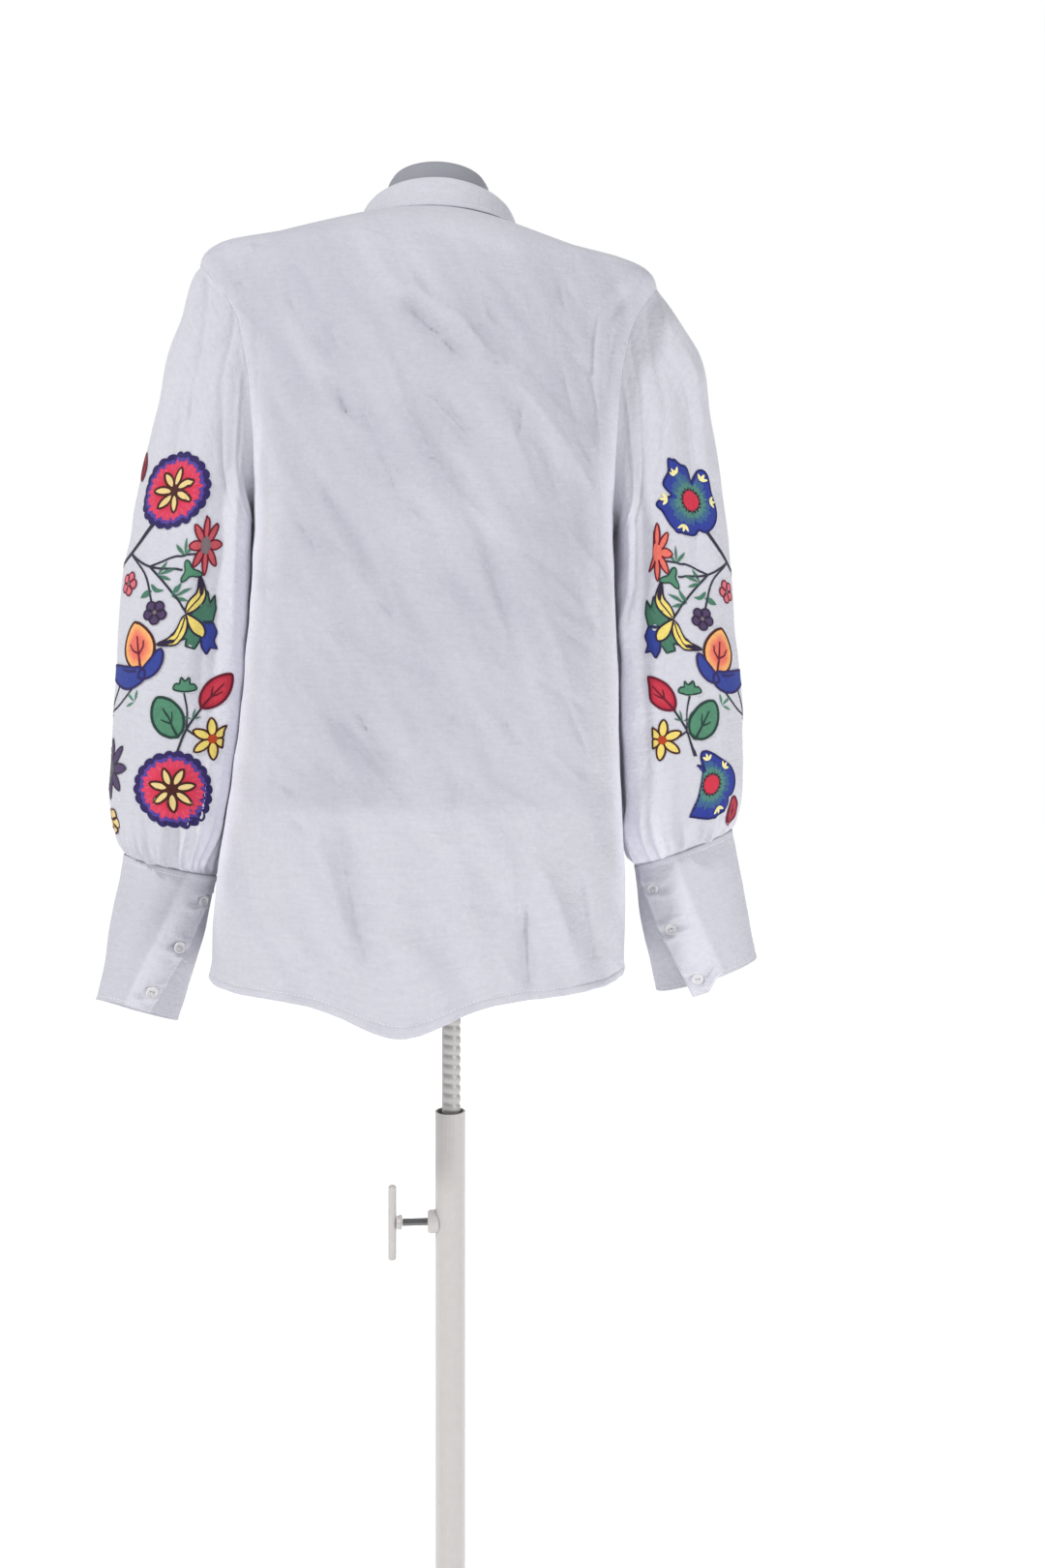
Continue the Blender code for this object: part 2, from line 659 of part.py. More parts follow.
def make_button_band(material):
    levels = [level for level in BODY_LEVELS if level < BAND_TOP] + [BAND_TOP]
    grid = []
    for level in levels:
        offsets = spread(-BAND_HALF_WIDTH, BAND_HALF_WIDTH, 2)
        grid.append([body_point(level, front_angle(level, across), BAND_LIFT) for across in offsets])
    wall_from_grid("button_band", grid, material)


def make_sleeve(side, material):
    columns = GATHERS * GATHER_POINTS
    grid = []
    for ring in SLEEVE_LEVELS:
        grid.append([sleeve_point(side, ring, 360.0 * step / columns) for step in range(columns)])
    wall_from_grid("sleeve_" + side, grid, material, around=True)


def make_cuff(side, material):
    grid = []
    for row in range(CUFF_LEVELS + 1):
        down = row / CUFF_LEVELS
        edge = cuff_edge_turn(side, down)
        turns = spread(edge - CUFF_OVERLAP, edge + 360.0, CUFF_STEPS)
        grid.append([cuff_point(side, down, turn) for turn in turns])
    wall_from_grid("cuff_" + side, grid, material, wall=CUFF_WALL)


def ring_angles(level):
    """The columns of the panels all round a level, from beside the centre front round to it."""
    right = spread(90.0, front_angle(level, BAND_HALF_WIDTH), FRONT_COLUMNS)
    left = [-angle for angle in reversed(right)]
    return left + spread(-90.0, 90.0, int(180 / PANEL_STEP))[1:-1] + right + [180.0]


def make_collar(material):
    angles = [-180.0] + ring_angles(NECKLINE)
    stand = [[stand_point(up, angle) for angle in [-180.0 - STAND_LAP] + angles] for up in (0.0, 0.5, 1.0)]
    wall_from_grid("collar_stand", stand, material)
    rows = len(FALL_TOP_PROFILE) + FALL_STEPS
    fall = [[fall_point(row, angle) for angle in angles if abs(angle) < FALL_END] for row in range(rows)]
    wall_from_grid("collar_fall", fall, material)


def make_button(name, place, outward, material):
    rim = BUTTON_RADIUS - 0.0009
    profile = ((BUTTON_RADIUS - 0.0004, 0.0), (BUTTON_RADIUS, BUTTON_THICK * 0.5), (rim, BUTTON_THICK))
    turned_solid(name, profile, BUTTON_SIDES, material, place, outward)


def make_buttons(material):
    for number, height in enumerate(FRONT_BUTTON_HEIGHTS, start=1):
        level = front_level_at(height)
        outward = body_normal(level, 180.0)
        lift = BAND_LIFT + WALL / 2 + SEAM_GAP + BUTTON_CLEAR
        make_button("button_front_%d" % number, body_point(level, 180.0, lift), outward, material)
    outward = ring_outward(STAND_TOP, 180.0)
    place = stand_point(0.42, 180.0 - STAND_LAP * 0.6, WALL / 2 + SEAM_GAP + BUTTON_CLEAR)
    make_button("button_collar", place, outward, material)
    for side, downs in CUFF_BUTTONS.items():
        for number, down in enumerate(downs, start=1):
            turn = 360.0 + cuff_edge_turn(side, down) - CUFF_BUTTON_BACK
            lift = CUFF_WALL / 2 + SEAM_GAP + CUFF_BUTTON_CLEAR
            place = cuff_point(side, down, turn, lift)
            make_button("button_cuff_%s_%d" % (side, number), place, cuff_normal(side, down, turn), material)


# The dress form and its stand

def make_form(material):
    rings = []
    for level in FORM_LEVELS:
        inset = interpolate(FORM_ROWS, level)[0]
        if level == FORM_LEVELS[0]:
            inset += FORM_BOTTOM_EDGE
        angles = ring_angles(level)
        rings.append([body_base(level, angle) - body_normal(level, angle) * inset for angle in angles])
    bottom = min(point.z for point in rings[0])
    for point in rings[0]:
        point.z = bottom
    root = []
    for point in rings[-1]:
        x = NECK_CENTRE[0] + (point.x - NECK_CENTRE[0]) * NECK_ROOT_SCALE
        y = NECK_CENTRE[1] + (point.y - NECK_CENTRE[1]) * NECK_ROOT_SCALE
        root.append(Vector((x, y, point.z + NECK_ROOT_RISE)))
    rings.append(root)
    for z, radius in NECK_ROWS:
        ring = []
        for angle in angles:
            x = NECK_CENTRE[0] + radius * math.sin(math.radians(angle))
            y = NECK_CENTRE[1] - radius * math.cos(math.radians(angle))
            ring.append(Vector((x, y, z)))
        rings.append(ring)
    solid_from_rings("dress_form", rings, material)
    return bottom


def make_pole(form_bottom, rod_material, paint_material):
    rod = ((ROD_RADIUS, ROD_BOTTOM), (ROD_RADIUS, form_bottom - SEAM_GAP))
    turned_solid("height_rod", rod, ROD_SIDES, rod_material)
    bottom = BASE_THICK + SEAM_GAP
    tube = ((TUBE_RADIUS, bottom), (TUBE_RADIUS, TUBE_TOP))
    tube = turned_solid("pole_tube", tube, TUBE_SIDES, paint_material)
    past = 0.01
    bore_start = Vector((0.0, 0.0, bottom - past))
    bore_end = Vector((0.0, 0.0, TUBE_TOP + past))
    cut_round_hole(tube, TUBE_RADIUS - TUBE_WALL, bore_start, bore_end, TUBE_SIDES)
    hole_start = Vector((-TUBE_RADIUS - past, 0.0, CLAMP_Z))
    cut_round_hole(tube, SCREW_BORE, hole_start, Vector((0.0, 0.0, CLAMP_Z)), 12)


def make_base(material):
    plate = (
        (BASE_RADIUS - 0.002, 0.0),
        (BASE_RADIUS, 0.002),
        (BASE_RADIUS, BASE_EDGE),
        (BASE_RADIUS - 0.006, BASE_THICK),
    )
    turned_solid("base_plate", plate, BASE_SIDES, material)
    low = BASE_THICK + SEAM_GAP
    socket = ((SOCKET_RADIUS + 0.003, low), (SOCKET_RADIUS, low + 0.006),
              (SOCKET_RADIUS, SOCKET_TOP - 0.003), (SOCKET_RADIUS - 0.003, SOCKET_TOP))
    socket = turned_solid("pole_socket", socket, TUBE_SIDES, material)
    bore = TUBE_RADIUS + SEAM_GAP
    cut_round_hole(socket, bore, Vector((0.0, 0.0, low - 0.01)), Vector((0.0, 0.0, SOCKET_TOP + 0.01)), TUBE_SIDES)


def make_clamp(paint_material, steel_material):
    back = Vector((-1.0, 0.0, 0.0))
    start = Vector((-TUBE_RADIUS * 0.75, 0.0, CLAMP_Z))
    boss_length = BOSS_END - TUBE_RADIUS * 0.75
    boss = ((BOSS_RADIUS, 0.0), (BOSS_RADIUS, boss_length - 0.0015), (BOSS_RADIUS - 0.0015, boss_length))
    boss = turned_solid("clamp_boss", boss, TUBE_SIDES, paint_material, start, back)
    above = Vector((0.0, 0.0, CLAMP_Z + 0.03))
    below = Vector((0.0, 0.0, CLAMP_Z - 0.03))
    cut_round_hole(boss, TUBE_RADIUS + SEAM_GAP, below, above, TUBE_SIDES)
    cut_round_hole(boss, SCREW_BORE, Vector((0.0, 0.0, CLAMP_Z)), Vector((-0.03, 0.0, CLAMP_Z)), 12)
    tip = ROD_RADIUS + SEAM_GAP
    screw = ((SCREW_RADIUS - 0.0008, tip), (SCREW_RADIUS, tip + 0.0008), (SCREW_RADIUS, HUB_START - SEAM_GAP))
    turned_solid("clamp_screw", screw, 12, steel_material, Vector((0.0, 0.0, CLAMP_Z)), back)
    hub_end = BAR_X - BAR_RADIUS - SEAM_GAP
    hub = ((HUB_RADIUS - 0.0012, HUB_START), (HUB_RADIUS, HUB_START + 0.0012), (HUB_RADIUS - 0.001, hub_end))
    turned_solid("clamp_hub", hub, 16, paint_material, Vector((0.0, 0.0, CLAMP_Z)), back)
    end = BAR_LENGTH / 2
    bar = ((BAR_RADIUS - 0.0012, -end), (BAR_RADIUS, -end + 0.0012), (BAR_RADIUS, end - 0.0012),
           (BAR_RADIUS - 0.0012, end))
    turned_solid("clamp_bar", bar, 12, paint_material, Vector((-BAR_X, 0.0, CLAMP_Z)))


def main():
    for thing in list(bpy.data.objects):
        bpy.data.objects.remove(thing, do_unlink=True)
    cloth = new_material("white_cloth", CLOTH_COLOUR, 0.85)
    button = new_material("pearl_button", BUTTON_COLOUR, 0.25)
    form = new_material("grey_form", FORM_COLOUR, 0.6)
    paint = new_material("light_paint", PAINT_COLOUR, 0.4)
    rod = new_material("ridged_rod", ROD_COLOUR, 0.45, 0.3)
    steel = new_material("dark_steel", STEEL_COLOUR, 0.4, 1.0)
    make_back(cloth)
    for side in SIDES:
        make_front(side, cloth)
        make_sleeve(side, cloth)
        make_cuff(side, cloth)
    make_button_band(cloth)
    make_collar(cloth)
    make_buttons(button)
    form_bottom = make_form(form)
    make_pole(form_bottom, rod, paint)
    make_base(paint)
    make_clamp(paint, steel)


main()
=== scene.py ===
"""The looks of a printed blouse on a dress form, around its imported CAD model.

Metres, +Z up. The blouse's back faces -Y, towards the camera, and +X is to the picture's right.
"""

import math

import bpy
import numpy as np
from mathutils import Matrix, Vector


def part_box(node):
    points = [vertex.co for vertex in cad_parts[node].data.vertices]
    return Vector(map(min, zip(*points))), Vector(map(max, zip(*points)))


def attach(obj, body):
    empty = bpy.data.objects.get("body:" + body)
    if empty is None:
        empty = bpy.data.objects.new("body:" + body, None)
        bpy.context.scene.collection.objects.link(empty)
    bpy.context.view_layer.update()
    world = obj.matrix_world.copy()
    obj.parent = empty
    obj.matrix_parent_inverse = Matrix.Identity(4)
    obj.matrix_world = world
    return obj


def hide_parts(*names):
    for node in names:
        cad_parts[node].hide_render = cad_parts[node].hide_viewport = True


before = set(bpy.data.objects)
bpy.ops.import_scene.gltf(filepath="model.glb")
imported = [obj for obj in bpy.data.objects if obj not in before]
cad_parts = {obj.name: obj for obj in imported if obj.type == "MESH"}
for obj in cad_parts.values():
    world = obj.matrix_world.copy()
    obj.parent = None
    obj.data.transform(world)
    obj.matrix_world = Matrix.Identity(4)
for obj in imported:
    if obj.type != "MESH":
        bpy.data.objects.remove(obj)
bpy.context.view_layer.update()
FULL_TURN = 2.0 * math.pi

# Sizes repeated from the CAD source, in metres and degrees. For the look these differ from it by
# up to 3 mm: z_back in BODY_ROWS' last two rows and in FALL_EDGE, and the cuff tab's drop and turns
WALL = 0.0012
SEAM_GAP = 0.0003
LAP = 0.0020
# level, centre_x, half_width, back, front, z_back, z_side, z_front, right_drop, roundness
BODY_ROWS = (
    (0.0, -0.0240, 0.1650, 0.112, 0.100, 0.7835, 0.7925, 0.7815, 0.0, 0.80),
    (1.0, -0.0220, 0.1635, 0.110, 0.101, 0.8600, 0.8650, 0.8600, 0.0, 0.80),
    (2.0, -0.0170, 0.1550, 0.107, 0.104, 0.9600, 0.9600, 0.9600, 0.0, 0.80),
    (3.0, -0.0135, 0.1480, 0.107, 0.110, 1.0600, 1.0600, 1.0600, 0.0, 0.82),
    (4.0, -0.0120, 0.1445, 0.110, 0.115, 1.1600, 1.1600, 1.1550, 0.0, 0.84),
    (5.0, -0.0115, 0.1540, 0.112, 0.112, 1.2350, 1.2350, 1.2150, 0.0, 0.86),
    (6.0, -0.0120, 0.1670, 0.109, 0.103, 1.2920, 1.3040, 1.2560, 0.0030, 0.88),
    (7.0, -0.0150, 0.1850, 0.103, 0.094, 1.3360, 1.3600, 1.2880, 0.0055, 0.90),
    (8.0, -0.0135, 0.1480, 0.096, 0.084, 1.3600, 1.3700, 1.3080, 0.0100, 0.94),
    (9.0, -0.0110, 0.1040, 0.082, 0.073, 1.3785, 1.3805, 1.3230, 0.0115, 0.98),
    (10.0, -0.0095, 0.0610, 0.063, 0.060, 1.3890, 1.3905, 1.3350, 0.0050, 1.00),
)
HEM, UNDERARM, SHOULDER_TIP, NECKLINE = 0.0, 4.0, 7.0, 10.0
ARMHOLE_BACK = 27.0
ARMHOLE_FRONT = 31.0
HEM_DIP = 0.025
HEM_DIP_X = -0.037
HEM_DIP_HALF = 0.045
HEM_DIP_LEVELS = 1.5
# ring, outer_x, outer_z, inner_x, inner_z, half_depth
SLEEVE_ROWS = {
    "left": (
        (0.0, -0.1972, 1.3620, -0.1570, 1.1600, 0.0620),
        (1.0, -0.2047, 1.3500, -0.1615, 1.1570, 0.0600),
        (2.0, -0.2137, 1.3200, -0.1612, 1.1500, 0.0580),
        (3.0, -0.2262, 1.2850, -0.1610, 1.1420, 0.0550),
        (4.0, -0.2372, 1.2360, -0.1610, 1.1300, 0.0520),
        (5.0, -0.2477, 1.1870, -0.1618, 1.1100, 0.0490),
        (6.0, -0.2562, 1.1470, -0.1630, 1.0880, 0.0480),
        (7.0, -0.2612, 1.1050, -0.1645, 1.0620, 0.0480),
        (8.0, -0.2642, 1.0650, -0.1665, 1.0350, 0.0480),
        (9.0, -0.2662, 1.0280, -0.1690, 1.0050, 0.0490),
        (10.0, -0.2687, 0.9910, -0.1722, 0.9750, 0.0500),
        (11.0, -0.2714, 0.9520, -0.1785, 0.9420, 0.0500),
        (12.0, -0.2707, 0.9220, -0.1850, 0.9120, 0.0470),
        (13.0, -0.2662, 0.9010, -0.1900, 0.8860, 0.0400),
        (14.0, -0.2600, 0.8879, -0.1910, 0.8704, 0.0300),
    ),
    "right": (
        (0.0, 0.1690, 1.3620, 0.1330, 1.1600, 0.0620),
        (1.0, 0.1820, 1.3430, 0.1375, 1.1570, 0.0600),
        (2.0, 0.1980, 1.3170, 0.1370, 1.1500, 0.0580),
        (3.0, 0.2090, 1.2880, 0.1368, 1.1420, 0.0550),
        (4.0, 0.2180, 1.2400, 0.1368, 1.1300, 0.0520),
        (5.0, 0.2251, 1.1966, 0.1375, 1.1100, 0.0490),
        (6.0, 0.2310, 1.1550, 0.1382, 1.0880, 0.0480),
        (7.0, 0.2340, 1.1120, 0.1392, 1.0620, 0.0480),
        (8.0, 0.2365, 1.0720, 0.1402, 1.0350, 0.0480),
        (9.0, 0.2400, 1.0360, 0.1412, 1.0050, 0.0490),
        (10.0, 0.2430, 0.9970, 0.1424, 0.9750, 0.0500),
        (11.0, 0.2435, 0.9570, 0.1445, 0.9420, 0.0500),
        (12.0, 0.2410, 0.9330, 0.1470, 0.9120, 0.0470),
        (13.0, 0.2375, 0.9170, 0.1505, 0.8900, 0.0400),
        (14.0, 0.2340, 0.9065, 0.1550, 0.8765, 0.0300),
    ),
}
SLEEVE_ROUNDNESS = 0.92
ARMHOLE_FADE = 3.0
GATHER_CROWD_AT = 135.0
# down, outer_x, outer_z, inner_x, inner_z, half_depth, pitch, edge_turn
CUFF_ROWS = {
    "left": (
        (0.0, -0.2600, 0.8862, -0.1910, 0.8687, 0.0295, 0.00, 172.0),
        (0.5, -0.2710, 0.8270, -0.2040, 0.8120, 0.0310, -0.15, 146.0),
        (1.0, -0.2796, 0.7690, -0.2225, 0.7530, 0.0325, -0.30, 120.0),
    ),
    "right": (
        (0.0, 0.2340, 0.9047, 0.1550, 0.8747, 0.0295, 0.00, 160.0),
        (0.5, 0.2450, 0.8520, 0.1615, 0.8230, 0.0290, 0.00, 138.0),
        (1.0, 0.2550, 0.7990, 0.1735, 0.7720, 0.0285, 0.00, 114.0),
    ),
}
CUFF_TAB_DROP = {"left": 0.0, "right": 0.009}
CUFF_TAB_TURNS = (447.0, 458.0)
CUFF_OVERLAP = 45.0
CUFF_RISE_FROM = 290.0
CUFF_RISE_TO = 395.0
# centre_x, half_width, back, front, z_back, z_side, z_front
STAND_TOP = (-0.0095, 0.0590, 0.0605, 0.0575, 1.4110, 1.4070, 1.3600)
FALL_EDGE = (-0.0095, 0.0668, 0.0725, 0.0880, 1.3850, 1.3920, 1.3150)
STAND_LAP = 8.0
STAND_LAP_IN = 0.0020
FALL_END = 170.0
FALL_TOP_PROFILE = ((0.0000, 0.0011), (0.0018, 0.0006), (0.0031, -0.0018))
FALL_STEPS = 3
BAND_HALF_WIDTH = 0.0125
BAND_TOP = 9.6
BAND_LIFT = WALL + SEAM_GAP + 0.0002
FRONT_BUTTON_HEIGHTS = (1.295, 1.215, 1.135, 1.055, 0.975, 0.895)
CUFF_BUTTONS = {
    "left": (0.17, 0.52, 0.86),
    "right": (0.19, 0.52, 0.90),
}
CUFF_BUTTON_BACK = 13.0
# level, inset
FORM_ROWS = (
    (1.65, 0.0250),
    (2.0, 0.0240),
    (3.0, 0.0210),
    (4.0, 0.0190),
    (5.0, 0.0160),
    (6.0, 0.0115),
    (6.6, 0.0085),
    (7.0, 0.0024),
    (10.0, 0.0020),
)
NECK_CENTRE = (-0.0095, 0.0005)
ROD_RADIUS = 0.0085
ROD_BOTTOM = 0.300
SIDES = {"left": -1.0, "right": 1.0}

# Sizes of the looks alone: a squarer back, sleeves that are flatter on the body's side and lean
# over the gap there (by how much, and between which rings it starts), and cloth walls
BACK_FLATTER = 0.10
SLEEVE_FLATNESS = 0.66
SLEEVE_START = -0.0007
SLEEVE_LEAN = {"left": (0.0070, 1.0, 2.6), "right": (0.0070, 5.6, 7.0)}
LEAN_TURN, LEAN_REACH = 143.0, 26.0
TUCK_WIDTH, TUCK_DEPTH = 1.6, 0.0012
CLOTH_WALL = 0.0007
CUFF_CLOTH_WALL = 0.0010
STAND_CLOTH_WALL = 0.0010
FALL_CLOTH_WALL = 0.0009
PANEL_COLUMNS, FRONT_COLUMNS, SLEEVE_TURNS = 180, 72, 210

# Creases of the body in millimetres: three points x z of a curve, half width, height out of the
# cloth, and how much wider its lower left flank is than its upper right one
BACK_CREASES = (
    (-41, 1300, -17, 1284, 14, 1249, 7, -6.5, 0.3),
    (-38, 1310, -5, 1294, 24, 1262, 10, 3.2, 0.0),
    (-41, 1228, -12, 1178, 12, 1128, 6, 4.2, -0.3),
    (12, 1128, 37, 1057, 73, 994, 10, 2.6, -0.2),
    (-112, 1185, -76, 1128, -55, 1093, 8, -4.2, 0.2),
    (-62, 1118, -34, 1064, -2, 1000, 9, 3.4, -0.2),
    (-23, 1238, -2, 1213, 20, 1192, 7, -4.4, 0.3),
    (44, 1242, 69, 1213, 90, 1189, 8, 3.2, -0.2),
    (55, 1256, 73, 1238, 90, 1224, 6, -3.0, 0.2),
    (9, 1279, 27, 1275, 46, 1268, 5, -2.6, 0.2),
    (16, 1256, 28, 1259, 41, 1256, 5, 2.6, 0.0),
    (23, 1132, 35, 1082, 62, 1004, 9, -4.6, 0.2),
    (-117, 1029, -97, 997, -76, 955, 7, 4.2, -0.3),
    (-94, 997, -69, 969, -41, 953, 8, -4.8, 0.2),
    (-76, 976, -51, 944, -30, 919, 7, 4.2, -0.3),
    (-106, 926, -88, 877, -76, 827, 8, 4.8, -0.3),
    (-85, 916, -76, 855, -58, 795, 8, -5.4, 0.2),
    (-127, 852, -112, 827, -101, 813, 8, 3.2, 0.0),
    (-5, 937, 11, 862, 16, 800, 9, 3.6, -0.2),
    (-27, 866, -12, 831, 2, 800, 9, -4.4, 0.2),
    (4, 965, 2, 916, 5, 859, 6, -2.8, 0.0),
    (53, 859, 57, 816, 60, 781, 7, -5.2, 0.2),
    (62, 887, 81, 848, 92, 805, 9, 4.2, -0.2),
    (94, 880, 104, 845, 108, 809, 8, -3.2, 0.2),
    (-97, 1295, -87, 1242, -69, 1185, 22, -3.0, 0.0),
    (-20, 1142, 2, 1100, 16, 1054, 8, -3.0, 0.2),
    (-97, 1150, -69, 1093, -34, 1036, 6, 2.2, -0.2),
    (-58, 1203, -37, 1157, -20, 1114, 6, 2.4, -0.2),
    (-75, 1240, -52, 1186, -30, 1130, 7, -2.6, 0.2),
    (34, 1228, 48, 1192, 62, 1157, 8, 2.4, -0.2),
    (62, 1213, 73, 1181, 83, 1150, 8, -2.4, 0.2),
    (-134, 1306, -133, 1128, -138, 915, 9, 2.8, 0.0),
    (-114, 1270, -115, 1180, -112, 1093, 12, -2.2, 0.0),
    (103, 1288, 108, 1164, 113, 986, 9, 2.4, 0.0),
    (-95, 1080, -70, 1030, -48, 990, 7, -2.4, 0.2),
    (-30, 1035, -8, 985, 4, 940, 8, -2.2, 0.2),
    (60, 1090, 82, 1040, 95, 985, 9, 1.8, -0.2),
    (30, 930, 44, 880, 48, 830, 9, 2.0, 0.0),
    (-45, 905, -36, 850, -30, 800, 8, 2.4, -0.2),
    (84, 1275, 97, 1262, 110, 1255, 5, -2.2, 0.2),
    (-20, 1352, 10, 1349, 38, 1341, 6, -1.4, 0.0),
    (-60, 1345, -30, 1338, -8, 1340, 7, 1.2, 0.0),
    (66, 960, 90, 950, 112, 952, 7, -1.6, 0.0),
    (111, 1304, 105, 1262, 112, 1188, 9, -3.2, 0.75),
    (130, 1302, 118, 1262, 121, 1236, 4, -1.8, 0.3),
    (122, 1290, 116, 1268, 118, 1250, 4, 1.8, 0.2),
    (138, 1328, 133, 1318, 124, 1304, 5, -2.2, 0.2),
    (-164, 1310, -156, 1296, -146, 1282, 4, -2.4, 0.2),
    (-158, 1330, -150, 1340, -140, 1346, 5, 1.8, 0.0),
    (-150, 1300, -148, 1240, -149, 1180, 6, -2.4, -0.6),
    (-163, 1326, -160, 1318, -154, 1306, 4, -2.0, 0.0),
)
FRONT_CREASES = (
    (-100, 1240, -76, 1160, -55, 1080, 11, 4.6, -0.2),
    (85, 1230, 62, 1150, 40, 1060, 11, 4.6, 0.2),
    (-112, 1225, -92, 1150, -80, 1090, 9, -3.6, 0.2),
    (98, 1215, 84, 1140, 66, 1070, 9, -3.6, -0.2),
    (-95, 1020, -108, 900, -120, 790, 12, -5.0, 0.0),
    (-60, 950, -57, 870, -55, 785, 11, 4.8, 0.0),
    (45, 960, 47, 880, 50, 785, 11, -4.8, 0.0),
    (85, 1000, 95, 900, 105, 790, 12, 5.0, 0.0),
    (-40, 1180, -34, 1100, -36, 1010, 8, -2.6, 0.2),
    (22, 1190, 18, 1110, 22, 1000, 8, -2.6, -0.2),
    (-80, 1070, -72, 1000, -76, 920, 8, 2.8, -0.2),
    (62, 1080, 66, 1000, 64, 920, 8, 2.8, 0.2),
    (-36, 930, -33, 860, -35, 790, 8, -3.0, 0.0),
    (20, 920, 22, 860, 18, 790, 8, 2.8, 0.0),
    (-120, 1110, -112, 1050, -118, 970, 9, 2.6, 0.0),
    (104, 1100, 100, 1030, 106, 950, 9, -2.6, 0.0),
    (-70, 1290, -56, 1262, -50, 1225, 8, 2.2, -0.2),
    (52, 1290, 40, 1260, 34, 1222, 8, 2.2, 0.2),
)
CREASE_GAIN = 1.5
CREASE_STEPS = 8

# Long folds of a sleeve: side, turn at its start and end, first and last ring, half width in
# degrees, height in millimetres
SLEEVE_FOLDS = (
    ("left", 60, 128, -0.2, 3.8, 3.6, -2.4),
    ("left", 36, 96, -0.1, 4.2, 3.2, -2.0),
    ("left", 24, 46, 0.6, 6.2, 3.4, -1.6),
    ("left", 84, 144, 0.0, 3.4, 4.0, 1.6),
    ("left", 60, 78, 0.5, 7.0, 12, -4.6),
    ("left", 88, 100, 0.5, 9.0, 11, 4.6),
    ("left", 112, 122, 1.0, 12.0, 12, -4.6),
    ("left", 285, 270, 0.5, 10.0, 13, -4.6),
    ("left", 250, 240, 1.0, 12.0, 12, 4.2),
    ("left", 40, 52, 0.4, 4.5, 8, 2.4),
    ("left", 74, 80, 0.3, 4.0, 5, -2.2),
    ("left", 124, 132, 1.0, 8.0, 8, 2.4),
    ("left", 98, 112, 4.0, 10.5, 7, -2.4),
    ("left", 20, 34, 6.0, 11.0, 9, 1.6),
    ("left", 66, 58, 8.0, 12.6, 8, 1.8),
    ("left", 320, 312, 1.0, 7.0, 9, 2.4),
    ("left", 225, 218, 2.0, 10.0, 8, -2.8),
    ("right", 66, 134, -0.2, 3.6, 3.6, -2.8),
    ("right", 128, 138, 2.4, 7.0, 3.6, -2.0),
    ("right", 44, 108, -0.1, 3.4, 3.0, -2.2),
    ("right", 86, 148, -0.2, 3.4, 4.0, 2.0),
    ("right", 30, 70, 0.2, 2.6, 3.0, 1.4),
    ("right", 66, 80, 0.5, 8.0, 12, -4.2),
    ("right", 92, 104, 0.5, 9.0, 11, 4.6),
    ("right", 118, 124, 1.0, 12.0, 12, -4.6),
    ("right", 280, 268, 0.5, 10.0, 13, -4.6),
    ("right", 248, 240, 1.0, 12.0, 12, 4.2),
    ("right", 44, 56, 0.4, 5.0, 8, 2.6),
    ("right", 60, 66, 0.3, 5.5, 4, -2.2),
    ("right", 134, 144, 1.0, 8.0, 8, 3.4),
    ("right", 100, 112, 5.0, 11.5, 7, -2.6),
    ("right", 84, 92, 7.0, 12.8, 6, 2.4),
    ("right", 24, 30, 6.0, 11.0, 9, 1.6),
    ("right", 318, 310, 1.0, 7.0, 9, 2.4),
    ("right", 226, 218, 2.0, 10.0, 8, -2.8),
)

# Gathers above a cuff: how many, and the seeds of their places and sizes
GATHERS = 30
GATHER_SEED = {"left": 5, "right": 11}


def columns_at(rows, at):
    """Read a table's columns at values of its first column, on smooth curves through the rows."""
    table = np.array(rows, dtype=float)
    keys = table[:, 0]
    at = np.clip(np.asarray(at, dtype=float), keys[0], keys[-1])
    index = np.clip(np.searchsorted(keys, at, side="left") - 1, 0, len(keys) - 2)
    before = np.maximum(index - 1, 0)
    after = np.minimum(index + 2, len(keys) - 1)
    span = (keys[index + 1] - keys[index])[..., None]
    part = (at - keys[index])[..., None] / span
    start, end = table[index], table[index + 1]
    slope_start = (end - table[before]) / (keys[index + 1] - keys[before])[..., None] * span
    slope_end = (table[after] - start) / (keys[after] - keys[index])[..., None] * span
    values = (
        (2 * part**3 - 3 * part**2 + 1) * start
        + (part**3 - 2 * part**2 + part) * slope_start
        + (3 * part**2 - 2 * part**3) * end
        + (part**3 - part**2) * slope_end
    )
    return np.moveaxis(values, -1, 0)[1:]


def ease(value, start, end):
    part = np.clip((np.asarray(value, dtype=float) - start) / (end - start), 0.0, 1.0)
    return part * part * (3.0 - 2.0 * part)


def hill(value, at, width):
    """1 at a place and falling off smoothly on both sides."""
    return np.exp(-(((value - at) / width) ** 2))


def turn_away(turn, centre):
    """Degrees from a centre, between -180 and 180."""
    return (turn - centre + 180.0) % 360.0 - 180.0


def paired(first, second):
    """Two values as arrays of one shape."""
    return np.broadcast_arrays(np.asarray(first, float), np.asarray(second, float))


def signed_power(value, power):
    return np.sign(value) * np.abs(value) ** power


def sin_deg(angle):
    return np.sin(np.radians(angle))


def cos_deg(angle):
    return np.cos(np.radians(angle))


def unit(vectors):
    return vectors / np.maximum(np.linalg.norm(vectors, axis=-1, keepdims=True), 1e-12)


def normals_of(surface, u, v, step_u, step_v):
    along_u = surface(u + step_u, v) - surface(u - step_u, v)
    along_v = surface(u, v + step_v) - surface(u, v - step_v)
    return unit(np.cross(along_u, along_v))


def waves(points, size, seed, count=14):
    """Smooth unevenness between about -1 and 1, with features about size metres across."""
    chance = np.random.default_rng(seed)
    total = np.zeros(points.shape[:-1])
    for _ in range(count):
        way = unit(chance.normal(size=3)) * FULL_TURN / (size * chance.uniform(1.4, 3.2))
        total += np.sin(points @ way + chance.uniform(0, FULL_TURN))
    return total / math.sqrt(count) * 0.8


